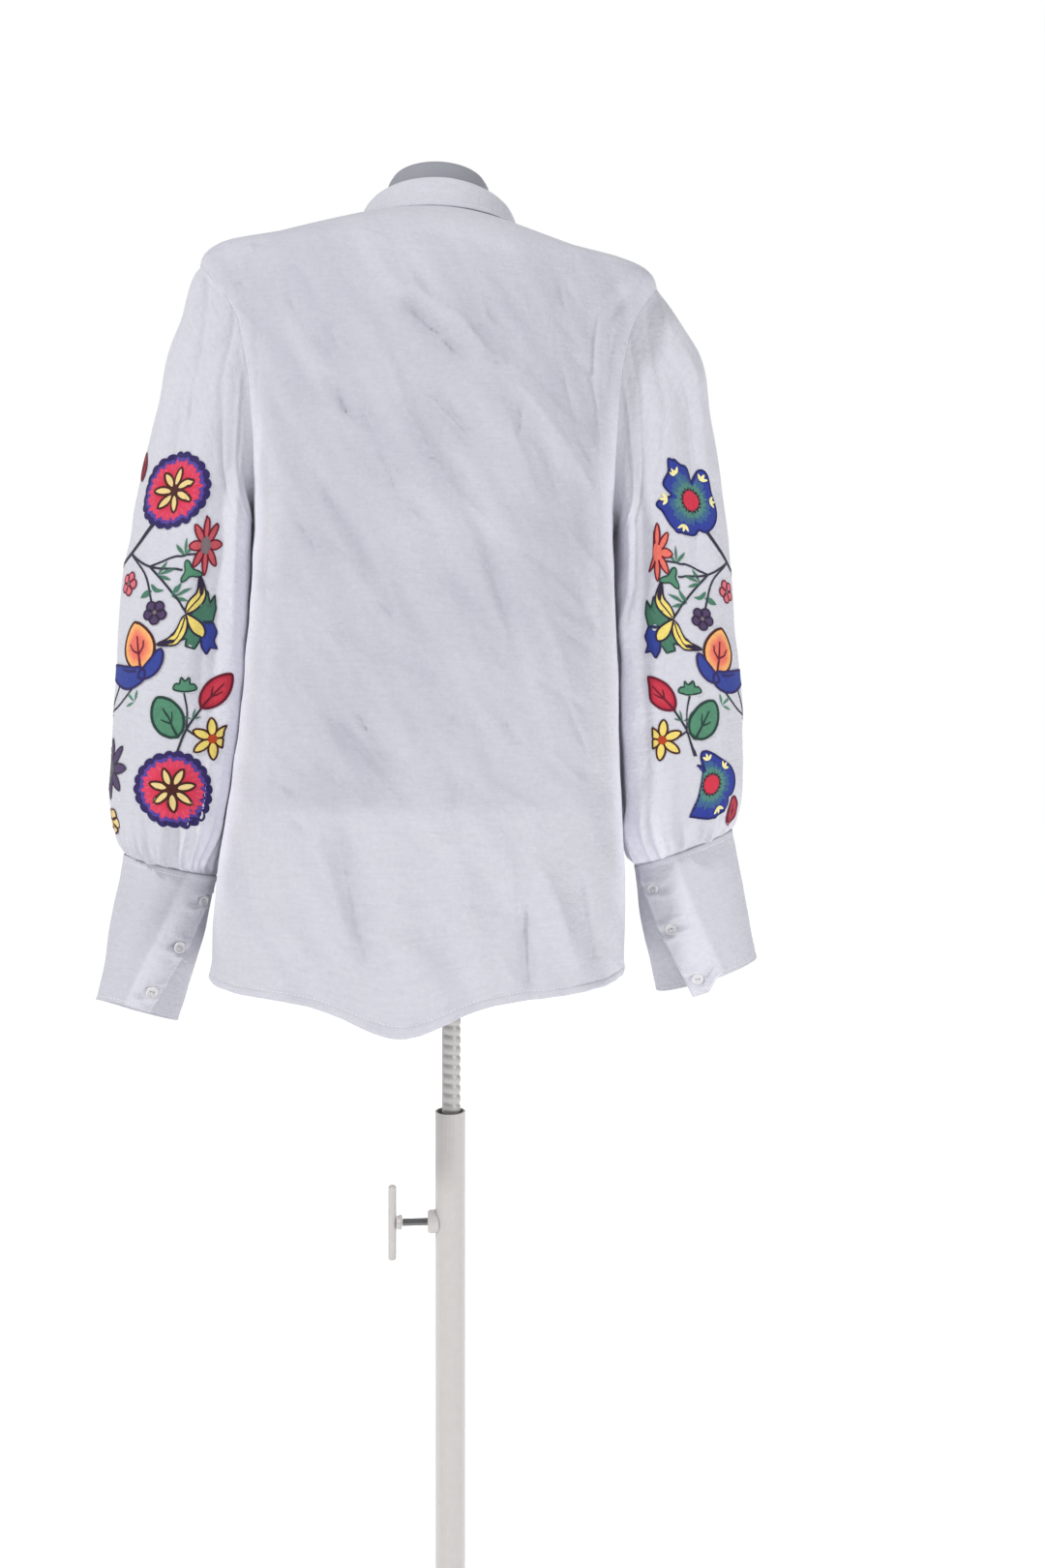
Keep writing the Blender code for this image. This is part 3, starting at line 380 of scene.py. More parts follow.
# The body's surface

def body_base(level, angle):
    level, angle = paired(level, angle)
    (centre_x, half_width, back, front, z_back, z_side, z_front,
     right_drop, roundness) = columns_at(BODY_ROWS, level)
    across, along = sin_deg(angle), cos_deg(angle)
    roundness = roundness - BACK_FLATTER * (along > 0) * (1.0 - ease(level, 4.4, 6.4))
    depth = np.where(along > 0, back, front)
    z_middle = np.where(along > 0, z_back, z_front)
    x = centre_x + half_width * signed_power(across, roundness)
    y = -depth * signed_power(along, roundness)
    z = z_side + (z_middle - z_side) * along * along
    z = z - np.where(across > 0, right_drop * across * across, 0.0)
    fade = np.maximum(0.0, 1.0 - level / HEM_DIP_LEVELS) ** 2
    dip = HEM_DIP * fade * hill(x, HEM_DIP_X, HEM_DIP_HALF)
    z = z - np.where(along > 0, dip, 0.0)
    return np.stack((x, y, z), axis=-1)


def body_normal(level, angle):
    level = np.clip(level, HEM + 0.02, NECKLINE - 0.02)
    return -normals_of(body_base, level, angle, 0.02, 0.4)


def sharp_fold(away):
    """A fold's section: 1 at its crisp crest, with hollow flanks."""
    return np.exp(-1.3 * (np.sqrt(away**2 + 0.03) - 0.173))


def small_creases(seed, count, bounds, lean):
    """Short seeded creases that run mostly one way, as worn linen has."""
    chance = np.random.default_rng(seed)
    rows = []
    for _ in range(count):
        x, z = chance.uniform(bounds[0], bounds[1]), chance.uniform(bounds[2], bounds[3])
        way = math.radians(chance.normal(lean, 17.0))
        long, bow = chance.uniform(9.0, 30.0), chance.uniform(-3.0, 3.0)
        run_x, run_z = math.cos(way) * long, -math.sin(way) * long
        size = chance.uniform(0.8, 1.8) * (1.0 if chance.random() < 0.5 else -1.0)
        rows.append((x - run_x, z - run_z, x + bow, z + bow, x + run_x, z + run_z,
                     chance.uniform(1.9, 3.4), size, chance.uniform(-0.3, 0.3)))
    return tuple(rows)


def crease_height(x, z, creases):
    """The height in metres of a table of creases at points x z in metres."""
    x, z = np.asarray(x) * 1000.0, np.asarray(z) * 1000.0
    height = np.zeros(x.shape)
    for x0, z0, x1, z1, x2, z2, half_width, size, skew in creases:
        reach = half_width * 3.2
        near = (x > min(x0, x1, x2) - reach) & (x < max(x0, x1, x2) + reach)
        near &= (z > min(z0, z1, z2) - reach) & (z < max(z0, z1, z2) + reach)
        if not near.any():
            continue
        px, pz = x[near], z[near]
        best = np.full(px.shape, 1e9)
        signed, at = np.zeros(px.shape), np.zeros(px.shape)
        steps = np.linspace(0.0, 1.0, CREASE_STEPS + 1)
        curve_x = (1 - steps) ** 2 * x0 + 2 * steps * (1 - steps) * x1 + steps**2 * x2
        curve_z = (1 - steps) ** 2 * z0 + 2 * steps * (1 - steps) * z1 + steps**2 * z2
        for k in range(CREASE_STEPS):
            run_x, run_z = curve_x[k + 1] - curve_x[k], curve_z[k + 1] - curve_z[k]
            away_x, away_z = px - curve_x[k], pz - curve_z[k]
            part = np.clip((away_x * run_x + away_z * run_z) / (run_x**2 + run_z**2), 0.0, 1.0)
            distance = np.hypot(away_x - part * run_x, away_z - part * run_z)
            side = np.sign(run_x * away_z - run_z * away_x)
            closer = distance < best
            best = np.where(closer, distance, best)
            signed = np.where(closer, side, signed)
            at = np.where(closer, (k + part) / CREASE_STEPS, at)
        width = half_width * (1.0 - skew * signed)
        taper = ease(at, -0.15, 0.3) * (1.0 - ease(at, 0.7, 1.15))
        height[near] += size * CREASE_GAIN / 1000.0 * taper * sharp_fold(best / width)
    return height


# Their seed, number, range of x and z in millimetres, and degrees down to the right
SMALL_BACK = small_creases(101, 110, (-135, 108, 800, 1325), 56.0)
SMALL_FRONT = small_creases(102, 44, (-125, 105, 800, 1270), 74.0)


def body_surface(level, angle, lift=0.0, fine=1.0):
    """Points of the cloth's middle and its normals, with its creases."""
    level, angle = paired(level, angle)
    base = body_base(level, angle)
    normal = body_normal(level, angle)
    x, y, z = base[..., 0], base[..., 1], base[..., 2]
    fade = ease(np.abs(cos_deg(angle)), 0.08, 0.45) * (1.0 - ease(level, 6.2, 7.0))
    creases = np.where(y < 0, crease_height(x, z, BACK_CREASES + SMALL_BACK),
                       crease_height(x, z, FRONT_CREASES + SMALL_FRONT))
    yoke = np.where((y < 0) & (level >= 6.2), crease_height(x, z, BACK_CREASES), 0.0)
    height = fade * creases + (1 - fade) * yoke * 0.6 * ease(np.abs(cos_deg(angle)), 0.2, 0.5)
    soft = 0.9 * (1.0 - ease(level, 6.5, 9.0)) + 0.1
    crumple = 0.0008 * waves(base, 0.045, 3) + 0.00035 * waves(base, 0.016, 8)
    height = height + fine * soft * crumple
    return base + normal * (height + lift)[..., None], normal


def armhole_width(level, widest):
    part = np.clip((np.asarray(level, float) - UNDERARM) / (SHOULDER_TIP - UNDERARM), 0.0, 1.0)
    return widest * np.sqrt(4.0 * part * (1.0 - part))


def front_angle(level, across):
    """The angle at which the body's front lies a distance across from its middle."""
    _, half_width, *_, roundness = columns_at(BODY_ROWS, level)
    return 180.0 - np.degrees(np.arcsin(signed_power(across / half_width, 1.0 / roundness)))


# The sleeves' surface

def sleeve_ring(side, ring, turn):
    outer_x, outer_z, inner_x, inner_z, half_depth = columns_at(SLEEVE_ROWS[side], ring)
    flat = ease(ring, 0.0, 1.5) * (1.0 - ease(ring, 11.5, 14.0)) * (cos_deg(turn) < 0)
    power = SLEEVE_ROUNDNESS + (SLEEVE_FLATNESS - SLEEVE_ROUNDNESS) * flat
    across = signed_power(cos_deg(turn), power)
    along = signed_power(sin_deg(turn), power)
    x = (outer_x + inner_x) / 2 + (outer_x - inner_x) / 2 * across
    z = (outer_z + inner_z) / 2 + (outer_z - inner_z) / 2 * across
    lean, start, end = SLEEVE_LEAN[side]
    lean = lean * ease(ring, start, end) * (1.0 - ease(ring, 12.0, 13.6))
    lean = lean * hill(turn_away(np.asarray(turn), LEAN_TURN), 0.0, LEAN_REACH)
    return np.stack((x - SIDES[side] * lean, -half_depth * along, z), axis=-1)


def armhole_place(side, turn, out=0.0):
    """The body's level and angle along an armhole, at turns round the sleeve."""
    across, along = cos_deg(turn), sin_deg(turn)
    level = UNDERARM + (SHOULDER_TIP - UNDERARM) * (1.0 + across) / 2
    widest = np.where(along > 0, ARMHOLE_BACK, ARMHOLE_FRONT) + out
    return level, SIDES[side] * (90.0 - widest * along)


def armhole_tuck(side, turn):
    """The sleeve's turned-in edge, tucked beneath the body's cloth."""
    level, angle = armhole_place(side, turn)
    angle = angle - SIDES[side] * TUCK_WIDTH * signed_power(sin_deg(turn), 0.5)
    return body_surface(level + 0.05 * cos_deg(turn), angle, -TUCK_DEPTH, 0.0)


def sleeve_base(side, ring, turn):
    ring, turn = paired(ring, turn)
    fade = (1.0 - ease(ring, 0.0, ARMHOLE_FADE))[..., None]
    edge = body_surface(*armhole_place(side, turn), SLEEVE_START, 0.0)[0]
    shift = edge - sleeve_ring(side, np.zeros_like(turn), turn)
    return sleeve_ring(side, ring, turn) + shift * fade


def gather_relief(side, ring, turn):
    """Uneven gathers that fan up from the cuff's seam, in metres."""
    chance = np.random.default_rng(GATHER_SEED[side])
    height = np.zeros(np.broadcast(ring, turn).shape)
    gaps = chance.uniform(0.55, 1.45, GATHERS)
    centres = np.cumsum(gaps) / gaps.sum() * 360.0
    for centre in centres:
        crowd = 0.5 + 0.5 * math.cos(math.radians(centre - GATHER_CROWD_AT))
        long = chance.uniform(0.5, 1.0) * (1.3 + 3.2 * crowd)
        size = chance.uniform(0.4, 1.4) * (0.0017 + 0.0046 * crowd)
        lean = chance.uniform(-5.0, 5.0)
        up = np.clip((14.0 - ring) / long, 0.0, 1.6)
        away = turn_away(turn, centre + lean * up)
        width = 3.4 + 2.8 * up
        shape = ease(up, 0.0, 0.22) * (1.0 - ease(up, 0.35, 1.25))
        shape += 0.12 * (1.0 - ease(up, 0.0, 0.2))
        height += size * shape * sharp_fold(away / width)
    return height - 0.0006 * ease(ring, 11.0, 13.0) * (1.0 - ease(ring, 13.5, 14.0))


def sleeve_relief(side, ring, turn, base):
    height = gather_relief(side, ring, turn)
    for fold_side, turn_start, turn_end, first, last, half_width, fold in SLEEVE_FOLDS:
        if fold_side != side:
            continue
        part = np.clip((ring - first) / (last - first), 0.0, 1.0)
        away = turn_away(turn, turn_start + (turn_end - turn_start) * part)
        rise = np.sin(math.pi * part) ** 0.7
        height = height + fold / 1000.0 * rise * sharp_fold(away / half_width)
    rise = ease(ring, 0.2, 1.6) * (1.0 - ease(ring, 13.4, 14.0))
    return height + rise * (0.0009 * waves(base, 0.042, 21) + 0.0004 * waves(base, 0.015, 22))


def sleeve_surface(side, ring, turn, lift=0.0):
    ring, turn = paired(ring, turn)

    def base(at_ring, at_turn):
        return sleeve_base(side, at_ring, at_turn)

    points = base(ring, turn)
    outward = normals_of(base, np.clip(ring, 0.05, 13.95), turn, 0.05, 2.0) * -SIDES[side]
    return points + outward * (sleeve_relief(side, ring, turn, points) + lift)[..., None], outward


# The cuffs' surface

def cuff_ring(side, down, turn):
    outer_x, outer_z, inner_x, inner_z, half_depth, pitch, edge = columns_at(CUFF_ROWS[side], down)
    across = cos_deg(turn)
    y = -half_depth * sin_deg(turn)
    x = (outer_x + inner_x) / 2 + (outer_x - inner_x) / 2 * across
    z = (outer_z + inner_z) / 2 + (outer_z - inner_z) / 2 * across + pitch * y
    return np.stack((x, y, z), axis=-1)


def cuff_edge_turn(side, down):
    return columns_at(CUFF_ROWS[side], down)[6]


def cuff_normal(side, down, turn):
    def ring(at_down, at_turn):
        return cuff_ring(side, at_down, at_turn)

    return normals_of(ring, np.clip(down, 0.02, 0.98), turn, 0.02, 1.0) * -SIDES[side]


def cuff_surface(side, down, turn, lift=0.0):
    down, turn = paired(down, turn)
    rise = LAP * ease(turn, CUFF_RISE_FROM, CUFF_RISE_TO)
    drop = CUFF_TAB_DROP[side] * ease(turn, *CUFF_TAB_TURNS) * down**3
    normal = cuff_normal(side, down, turn)
    points = cuff_ring(side, down, turn) + normal * (rise + lift)[..., None]
    points[..., 2] -= drop
    return points, normal


# The collar's surface

def collar_ring(sizes, angle):
    centre_x, half_width, back, front, z_back, z_side, z_front = sizes
    across, along = sin_deg(angle), cos_deg(angle)
    depth = np.where(along > 0, back, front)
    z_middle = np.where(along > 0, z_back, z_front)
    z = z_side + (z_middle - z_side) * along * along
    return np.stack((centre_x + half_width * across, -depth * along, z), axis=-1)


def ring_outward(sizes, angle):
    run = collar_ring(sizes, angle + 1.0) - collar_ring(sizes, angle - 1.0)
    return unit(np.stack((run[..., 1], -run[..., 0], np.zeros(run.shape[:-1])), axis=-1))


def stand_surface(up, angle, lift=0.0):
    up, angle = paired(up, angle)
    neckline = body_base(np.full(angle.shape, NECKLINE), angle)
    neckline = neckline + np.array((0.0, 0.0, WALL / 2 + SEAM_GAP))
    top = collar_ring(STAND_TOP, angle)
    inward = STAND_LAP_IN * (1.0 - ease(angle, -180.0 - STAND_LAP, -155.0))
    outward = ring_outward(STAND_TOP, angle)
    return neckline + (top - neckline) * up[..., None] + outward * (lift - inward)[..., None], outward


def fall_surface(row, angle):
    """The collar's fall. Rows 0 to 2 pass over the stand's top, and 2 to 5 go down to the edge."""
    row, angle = paired(row, angle)
    top = collar_ring(STAND_TOP, angle)
    outward = ring_outward(STAND_TOP, angle)
    keys = np.arange(len(FALL_TOP_PROFILE))
    out = np.interp(row, keys, [step[0] for step in FALL_TOP_PROFILE])
    up = np.interp(row, keys, [step[1] for step in FALL_TOP_PROFILE])
    points = top + outward * out[..., None]
    points[..., 2] += up
    part = np.clip((row - keys[-1]) / FALL_STEPS, 0.0, 1.0)[..., None]
    return points + (collar_ring(FALL_EDGE, angle) - points) * part, outward


# The sleeves' chart: millimetres round the sleeve from its outer edge, and height

CHART_TURNS = np.linspace(-180.0, 180.0, 145)
CHART_HEIGHTS = np.arange(0.862, 1.260, 0.006)


def sleeve_chart(side):
    """For each height, the turns and rings along the sleeve and their distance from its outer edge."""
    rings = np.linspace(0.4, 14.0, 180)
    ring, turn = np.meshgrid(rings, CHART_TURNS, indexing="ij")
    base = sleeve_base(side, ring, turn)
    level_rings = np.empty((len(CHART_HEIGHTS), len(CHART_TURNS)))
    for column in range(len(CHART_TURNS)):
        level_rings[:, column] = np.interp(-CHART_HEIGHTS, -base[:, column, 2], rings)
    points = sleeve_base(side, level_rings, np.broadcast_to(CHART_TURNS, level_rings.shape))
    steps = np.hypot(np.diff(points[..., 0], axis=1), np.diff(points[..., 1], axis=1))
    run = np.concatenate((np.zeros((len(CHART_HEIGHTS), 1)), np.cumsum(steps, axis=1)), axis=1)
    run = run - run[:, len(CHART_TURNS) // 2][:, None]
    return run * 1000.0, level_rings


def on_sleeve(side, chart, x, z, lift):
    """Points in metres on a sleeve for chart points x z in millimetres."""
    run, level_rings = chart
    x, z = np.asarray(x, float) * -SIDES[side], np.asarray(z, float) / 1000.0
    row = (z - CHART_HEIGHTS[0]) / (CHART_HEIGHTS[1] - CHART_HEIGHTS[0])
    row = np.clip(row, 0, len(CHART_HEIGHTS) - 1.001)
    low = row.astype(int)
    turn, ring = np.empty(x.shape), np.empty(x.shape)
    for index in np.unique(low):
        here = low == index
        part = (row - low)[here][:, None]
        runs = run[index] * (1 - part) + run[index + 1] * part
        rings = level_rings[index] * (1 - part) + level_rings[index + 1] * part
        turn[here] = [np.interp(at, row_run, CHART_TURNS) for at, row_run in zip(x[here], runs)]
        ring[here] = [np.interp(at, CHART_TURNS, row_rings) for at, row_rings in zip(turn[here], rings)]
    return sleeve_surface(side, ring, turn, lift)


# Meshes

def grid_faces(rows, columns, flip=False, start=0):
    i, j = np.meshgrid(np.arange(rows - 1), np.arange(columns - 1), indexing="ij")
    corner = (i * columns + j + start).ravel()
    faces = np.stack((corner, corner + columns, corner + columns + 1, corner + 1), axis=1)
    return faces[:, ::-1] if flip else faces


def ring_faces(rows, columns, flip=False, start=0):
    """Faces of a grid whose columns close on themselves."""
    i, j = np.meshgrid(np.arange(rows - 1), np.arange(columns), indexing="ij")
    k = (j + 1) % columns
    here, below = i * columns, (i + 1) * columns
    faces = np.stack((here + j, below + j, below + k, here + k), axis=-1).reshape(-1, 4) + start
    return faces[:, ::-1] if flip else faces


def new_piece(name, points, faces, material, body="upper",
              uv=None, painted_show_through_and_light=None, tint=None, sharp=None):
    mesh = bpy.data.meshes.new(name)
    mesh.from_pydata(np.asarray(points).reshape(-1, 3).tolist(), [], [list(face) for face in faces])
    mesh.shade_smooth()
    if sharp is not None:
        mesh.set_sharp_from_angle(angle=math.radians(sharp))
    corners = np.zeros(len(mesh.loops), dtype=np.int32)
    mesh.loops.foreach_get("vertex_index", corners)
    if uv is not None:
        layer = mesh.uv_layers.new(name="cloth")
        layer.data.foreach_set("uv", np.asarray(uv, dtype=np.float32).reshape(-1, 2)[corners].ravel())
    # Per-point painted tone for the cloth: show-through of the form and painted shade above 0, painted
    # light below 0
    if painted_show_through_and_light is not None:
        layer = mesh.attributes.new("painted_show_through_and_light", "FLOAT", "POINT")
        layer.data.foreach_set("value", np.asarray(painted_show_through_and_light, dtype=np.float32).ravel())
    if tint is not None:
        layer = mesh.color_attributes.new("tint", "FLOAT_COLOR", "POINT")
        layer.data.foreach_set("color", np.asarray(tint, dtype=np.float32).ravel())
    mesh.materials.append(material)
    thing = bpy.data.objects.new(name, mesh)
    bpy.context.scene.collection.objects.link(thing)
    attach(thing, body)
    return thing


def cloth_lengths(grid):
    """Metres along the columns and the rows of a grid, for the weave to follow."""
    across = np.linalg.norm(np.diff(grid, axis=1), axis=-1).mean(axis=0)
    along = np.linalg.norm(np.diff(grid, axis=0), axis=-1).mean(axis=1)
    u = np.concatenate(([0.0], np.cumsum(across)))
    v = np.concatenate(([0.0], np.cumsum(along)))
    return np.stack(np.meshgrid(u, v), axis=-1)


def cloth_shell(name, middle, normals, material, wall, painted_show_through_and_light=None):
    """A closed thin shell about a grid of points in the cloth's middle."""
    rows, columns = middle.shape[:2]
    count = rows * columns
    points = np.concatenate(((middle + normals * wall / 2).reshape(-1, 3),
                             (middle - normals * wall / 2).reshape(-1, 3)))
    turn = np.cross(middle[1:, :-1] - middle[:-1, :-1], middle[:-1, 1:] - middle[:-1, :-1])
    flip = float(np.sum(turn * normals[:-1, :-1])) < 0.0
    faces = [grid_faces(rows, columns, flip), grid_faces(rows, columns, not flip, count)]
    for edge, back in (
        (np.arange(columns), False),
        ((rows - 1) * columns + np.arange(columns), True),
        (np.arange(rows) * columns, True),
        (np.arange(rows) * columns + columns - 1, False),
    ):
        a, b = edge[:-1], edge[1:]
        rim = np.stack((a, b, b + count, a + count), axis=1)
        faces.append(rim[:, ::-1] if back != flip else rim)
    uv = cloth_lengths(middle)
    painted_show_through_and_light = np.zeros((rows, columns)) if painted_show_through_and_light is None else painted_show_through_and_light
    return new_piece(name, points, np.concatenate(faces), material,
                     uv=np.tile(uv.reshape(-1, 2), (2, 1)), painted_show_through_and_light=np.tile(painted_show_through_and_light.ravel(), 2))


def tilt_to(axis):
    return np.array(Vector((0, 0, 1)).rotation_difference(Vector(axis)).to_matrix())


def lathe(name, profile, sides, material, place, axis):
    """Turn a profile of radius and height about an axis through a place."""
    turn = np.linspace(0.0, FULL_TURN, sides, endpoint=False)
    profile = np.array(profile)
    local = np.stack((profile[:, :1] * np.cos(turn), profile[:, :1] * np.sin(turn),
                      np.repeat(profile[:, 1:2], sides, axis=1)), axis=-1)
    points = local @ tilt_to(axis).T + np.array(place)
    return new_piece(name, points, ring_faces(len(profile), sides), material, sharp=50)


# Materials

def shader_of(material):
    return material.node_tree.nodes["Principled BSDF"]


def new_material(name, colour, roughness, metallic=0.0, sheen=0.0, specular=0.5):
    material = bpy.data.materials.new(name)
    material.use_nodes = True
    for socket, value in {
        "Base Color": (*colour, 1.0), "Roughness": roughness, "Metallic": metallic,
        "Sheen Weight": sheen, "Specular IOR Level": specular,
    }.items():
        shader_of(material).inputs[socket].default_value = value
    return material


def node(material, kind, inputs=None, **settings):
    made = material.node_tree.nodes.new(kind)
    for key, value in settings.items():
        setattr(made, key, value)
    for key, value in (inputs or {}).items():
        made.inputs[key].default_value = value
    return made


def link(material, start, out, end, into):
    material.node_tree.links.new(start.outputs[out], end.inputs[into])


def feed(material, made, socket, source):
    """Give a socket a number, a colour, or the named output of another node."""
    if isinstance(source, float):
        made.inputs[socket].default_value = source
    elif isinstance(source[0], float):
        made.inputs[socket].default_value = (*source, 1.0)
    else:
        link(material, *source, made, socket)


def worked_out(material, operation, first, second, clamp=False):
    made = node(material, "ShaderNodeMath", operation=operation, use_clamp=clamp)
    feed(material, made, 0, first)
    feed(material, made, 1, second)
    return made, 0


def mixed(material, factor, first, second, blend="MIX"):
    made = node(material, "ShaderNodeMix", data_type="RGBA", blend_type=blend)
    for socket, source in (("Factor", factor), ("A", first), ("B", second)):
        feed(material, made, socket, source)
    return made, "Result"


def add_noise_bump(material, scale, strength, distance, before=None, detail=3.0):
    """Add soft unevenness to a material, and give back its bump and noise nodes."""
    place = node(material, "ShaderNodeTexCoord")
    noise = node(material, "ShaderNodeTexNoise", {"Scale": scale, "Detail": detail, "Roughness": 0.55})
    bump = node(material, "ShaderNodeBump", {"Strength": strength, "Distance": distance})
    link(material, place, "Object", noise, "Vector")
    link(material, noise, "Fac", bump, "Height")
    if before is not None:
        link(material, before, "Normal", bump, "Normal")
    return bump, noise


def cloth_material(name, colour, shade):
    """Fine plain-woven cotton: threads, slubs, soft crumples, and painted tones: the form showing through
    where it is behind, painted shade in creases and on cuffs, and painted light in the hollows and on cuff
    strips.
    """
    material = new_material(name, colour, 0.88, sheen=0.12, specular=0.25)
    uv = node(material, "ShaderNodeUVMap", uv_map="cloth")
    threads = []
    for scale, direction in ((640.0, "X"), (560.0, "Y")):
        wave = node(material, "ShaderNodeTexWave", {"Scale": scale, "Distortion": 0.6, "Detail": 1.0},
                    wave_type="BANDS", bands_direction=direction)
        link(material, uv, "UV", wave, "Vector")
        threads.append((wave, "Fac"))
    weave = node(material, "ShaderNodeBump", {"Strength": 0.16, "Distance": 0.00010})
    link(material, *worked_out(material, "ADD", *threads), weave, "Height")
    crumple, _ = add_noise_bump(material, 62.0, 0.62, 0.0016, weave)
    streaks, slubs = add_noise_bump(material, 1.0, 0.5, 0.0005, crumple)
    stretch = node(material, "ShaderNodeMapping", {"Scale": (70.0, 420.0, 1.0)})
    link(material, uv, "UV", stretch, "Vector")
    link(material, stretch, "Vector", slubs, "Vector")
    last, grain = add_noise_bump(material, 260.0, 0.9, 0.0009, streaks, detail=4.0)
    link(material, last, "Normal", shader_of(material), "Normal")
    # Painted tone from the mesh: above 0 it darkens the cloth for the form showing through and for painted
    # shade, below 0 it is painted light
    painted_show_through_and_light = (node(material, "ShaderNodeAttribute", attribute_name="painted_show_through_and_light"), "Fac")
    bright = worked_out(material, "MULTIPLY", painted_show_through_and_light, -1.0, clamp=True)
    depth = worked_out(material, "MULTIPLY", painted_show_through_and_light, shade, clamp=True)
    # Painted light lightens the cloth towards 1.36 times its colour; the painted show-through and painted
    # shade darken it towards a blue grey
    painted_light_colour = mixed(material, bright, colour, [c * 1.36 for c in colour])
    dark = [c * part for c, part in zip(colour, (0.40, 0.44, 0.51))]
    tone = mixed(material, depth, painted_light_colour, dark)
    both = worked_out(material, "ADD", (slubs, "Fac"), (grain, "Fac"))
    fleck = worked_out(material, "MULTIPLY", both, 0.5)
    slub = mixed(material, fleck, tone, (0.74, 0.745, 0.77), "MULTIPLY")
    link(material, *slub, shader_of(material), "Base Color")
    return material


def speckled_material(name, colour, roughness, metallic, scale, strength, specular=0.5):
    """Paint or metal with faint tone and a fine uneven surface."""
    material = new_material(name, colour, roughness, metallic, specular=specular)
    bump, noise = add_noise_bump(material, scale, strength, 0.0004)
    link(material, bump, "Normal", shader_of(material), "Normal")
    dark, pale = [c * 0.93 for c in colour], [min(c * 1.06, 1.0) for c in colour]
    tone = mixed(material, (noise, "Fac"), dark, pale)
    link(material, *tone, shader_of(material), "Base Color")
    return material


def print_material():
    """Printed motifs: their colour is in the mesh, their threads in a fine bump."""
    material = new_material("printed_motif", (0.5, 0.5, 0.5), 0.8, sheen=0.1, specular=0.25)
    dye = node(material, "ShaderNodeVertexColor", layer_name="tint")
    bump, noise = add_noise_bump(material, 420.0, 0.5, 0.0004, detail=2.0)
    link(material, bump, "Normal", shader_of(material), "Normal")
    tone = mixed(material, (noise, "Fac"), (dye, "Color"), (0.80, 0.80, 0.82), "MULTIPLY")
    link(material, *tone, shader_of(material), "Base Color")
    return material


WHITE = (0.622, 0.618, 0.672)
# How far the painted tone darkens the cloth: the form showing through, painted crease shade and painted
# shade on the cuffs
PAINTED_SHOW_THROUGH_AND_SHADE = 0.31
cloth = cloth_material("white_cotton", WHITE, PAINTED_SHOW_THROUGH_AND_SHADE)
motif = print_material()
thread = new_material("white_thread", (0.74, 0.74, 0.78), 0.6, sheen=0.2)
pearl = speckled_material("pearl_grey", (0.64, 0.63, 0.65), 0.25, 0.0, 300.0, 0.05)
# Painted shade: dark discs stand in for the shaded holes of the buttons
painted_hole_shade = new_material("button_hole_shade", (0.10, 0.10, 0.11), 0.7)
form_grey = speckled_material("form_jersey", (0.275, 0.280, 0.315), 0.75, 0.0, 900.0, 0.25, 0.3)
paint = speckled_material("stand_paint", (0.500, 0.480, 0.470), 0.38, 0.0, 160.0, 0.06)
rod_steel = speckled_material("rod_steel", (0.42, 0.41, 0.40), 0.42, 0.35, 240.0, 0.10)
screw_steel = speckled_material("screw_steel", (0.16, 0.16, 0.165), 0.40, 0.9, 200.0, 0.12)

# Body panels

HEM_SPAN = 0.0765
HEM_STITCHES = 0.0066
BAND_STITCHES = 0.0096
CUFF_STITCHES = (0.022, 0.972)
CUFF_END_STITCHES = 3.2
FALL_STITCHES = 4.45
STITCH_LIFT = 0.00008


def hem_roll(base, level):
    """The narrow rolled hem: a raised strip, a stitched groove above it, and small puckers."""
    high = level * HEM_SPAN
    strip = 0.0006 * (1.0 - ease(high, 0.0048, 0.0062)) - 0.0005 * (1.0 - ease(high, 0.0, 0.0012))
    groove = -0.00035 * hill(high, 0.0063, 0.0010)
    fade = 1.0 - ease(high, 0.004, 0.022)
    pucker = fade * (0.0007 * waves(base, 0.010, 31) + 0.0010 * waves(base, 0.028, 32))
    return strip + groove + pucker


HEM_ROW_HEIGHTS = (0.0, 0.6, 1.3, 2.2, 3.2, 4.2, 5.0, 5.6, 6.2, 6.8, 7.6, 8.8, 10.5, 12.8)
BODY_LEVELS = np.concatenate((
    np.array(HEM_ROW_HEIGHTS) / (HEM_SPAN * 1000.0),
    np.linspace(0.2, UNDERARM, 128, endpoint=False),
    np.linspace(UNDERARM, SHOULDER_TIP, 60, endpoint=False),
    np.linspace(SHOULDER_TIP, NECKLINE, 36),
))


def painted_show_through_and_shade(points, level):
    """How much of the dark form shows through the thin cloth, painted in from 0 to 1, with diagonal streaks
    and mottles of painted crease shade.
    """
    centre, half_width = columns_at(BODY_ROWS, level)[:2]
    inset = columns_at(FORM_ROWS, level)[0]
    x, y, z = np.moveaxis(points, -1, 0)
    tone = ease(half_width - inset * 1.15 - np.abs(x - centre), -0.004, 0.014) * ease(level, 1.58, 1.74)
    # Painted crease shade: diagonal streaks along the creases break up the show-through, and the mottles
    # darken the cloth where the form is not behind it
    slant = np.stack((0.85 * x + 0.52 * z, 0.22 * (0.85 * z - 0.52 * x), 0.3 * y), axis=-1)
    patch = 0.72 + 0.16 * waves(points, 0.060, 41)
    patch = patch + 0.20 * waves(slant, 0.016, 42) + 0.12 * waves(slant, 0.007, 43)
    low = 1.0 - ease(level, 2.0, 3.4)
    middle = np.exp(-(((x + 0.030) / 0.075) ** 4))
    painted_crease_shade = 0.28 * np.clip(waves(slant, 0.012, 44), 0.0, 1.0) * (1.0 - 0.8 * tone) * (level < 6.5)
    shown = tone * patch * (1.0 - 0.6 * low * (1.0 - middle)) * (1.0 - 0.70 * ease(level, 6.3, 8.2))
    return shown + painted_crease_shade


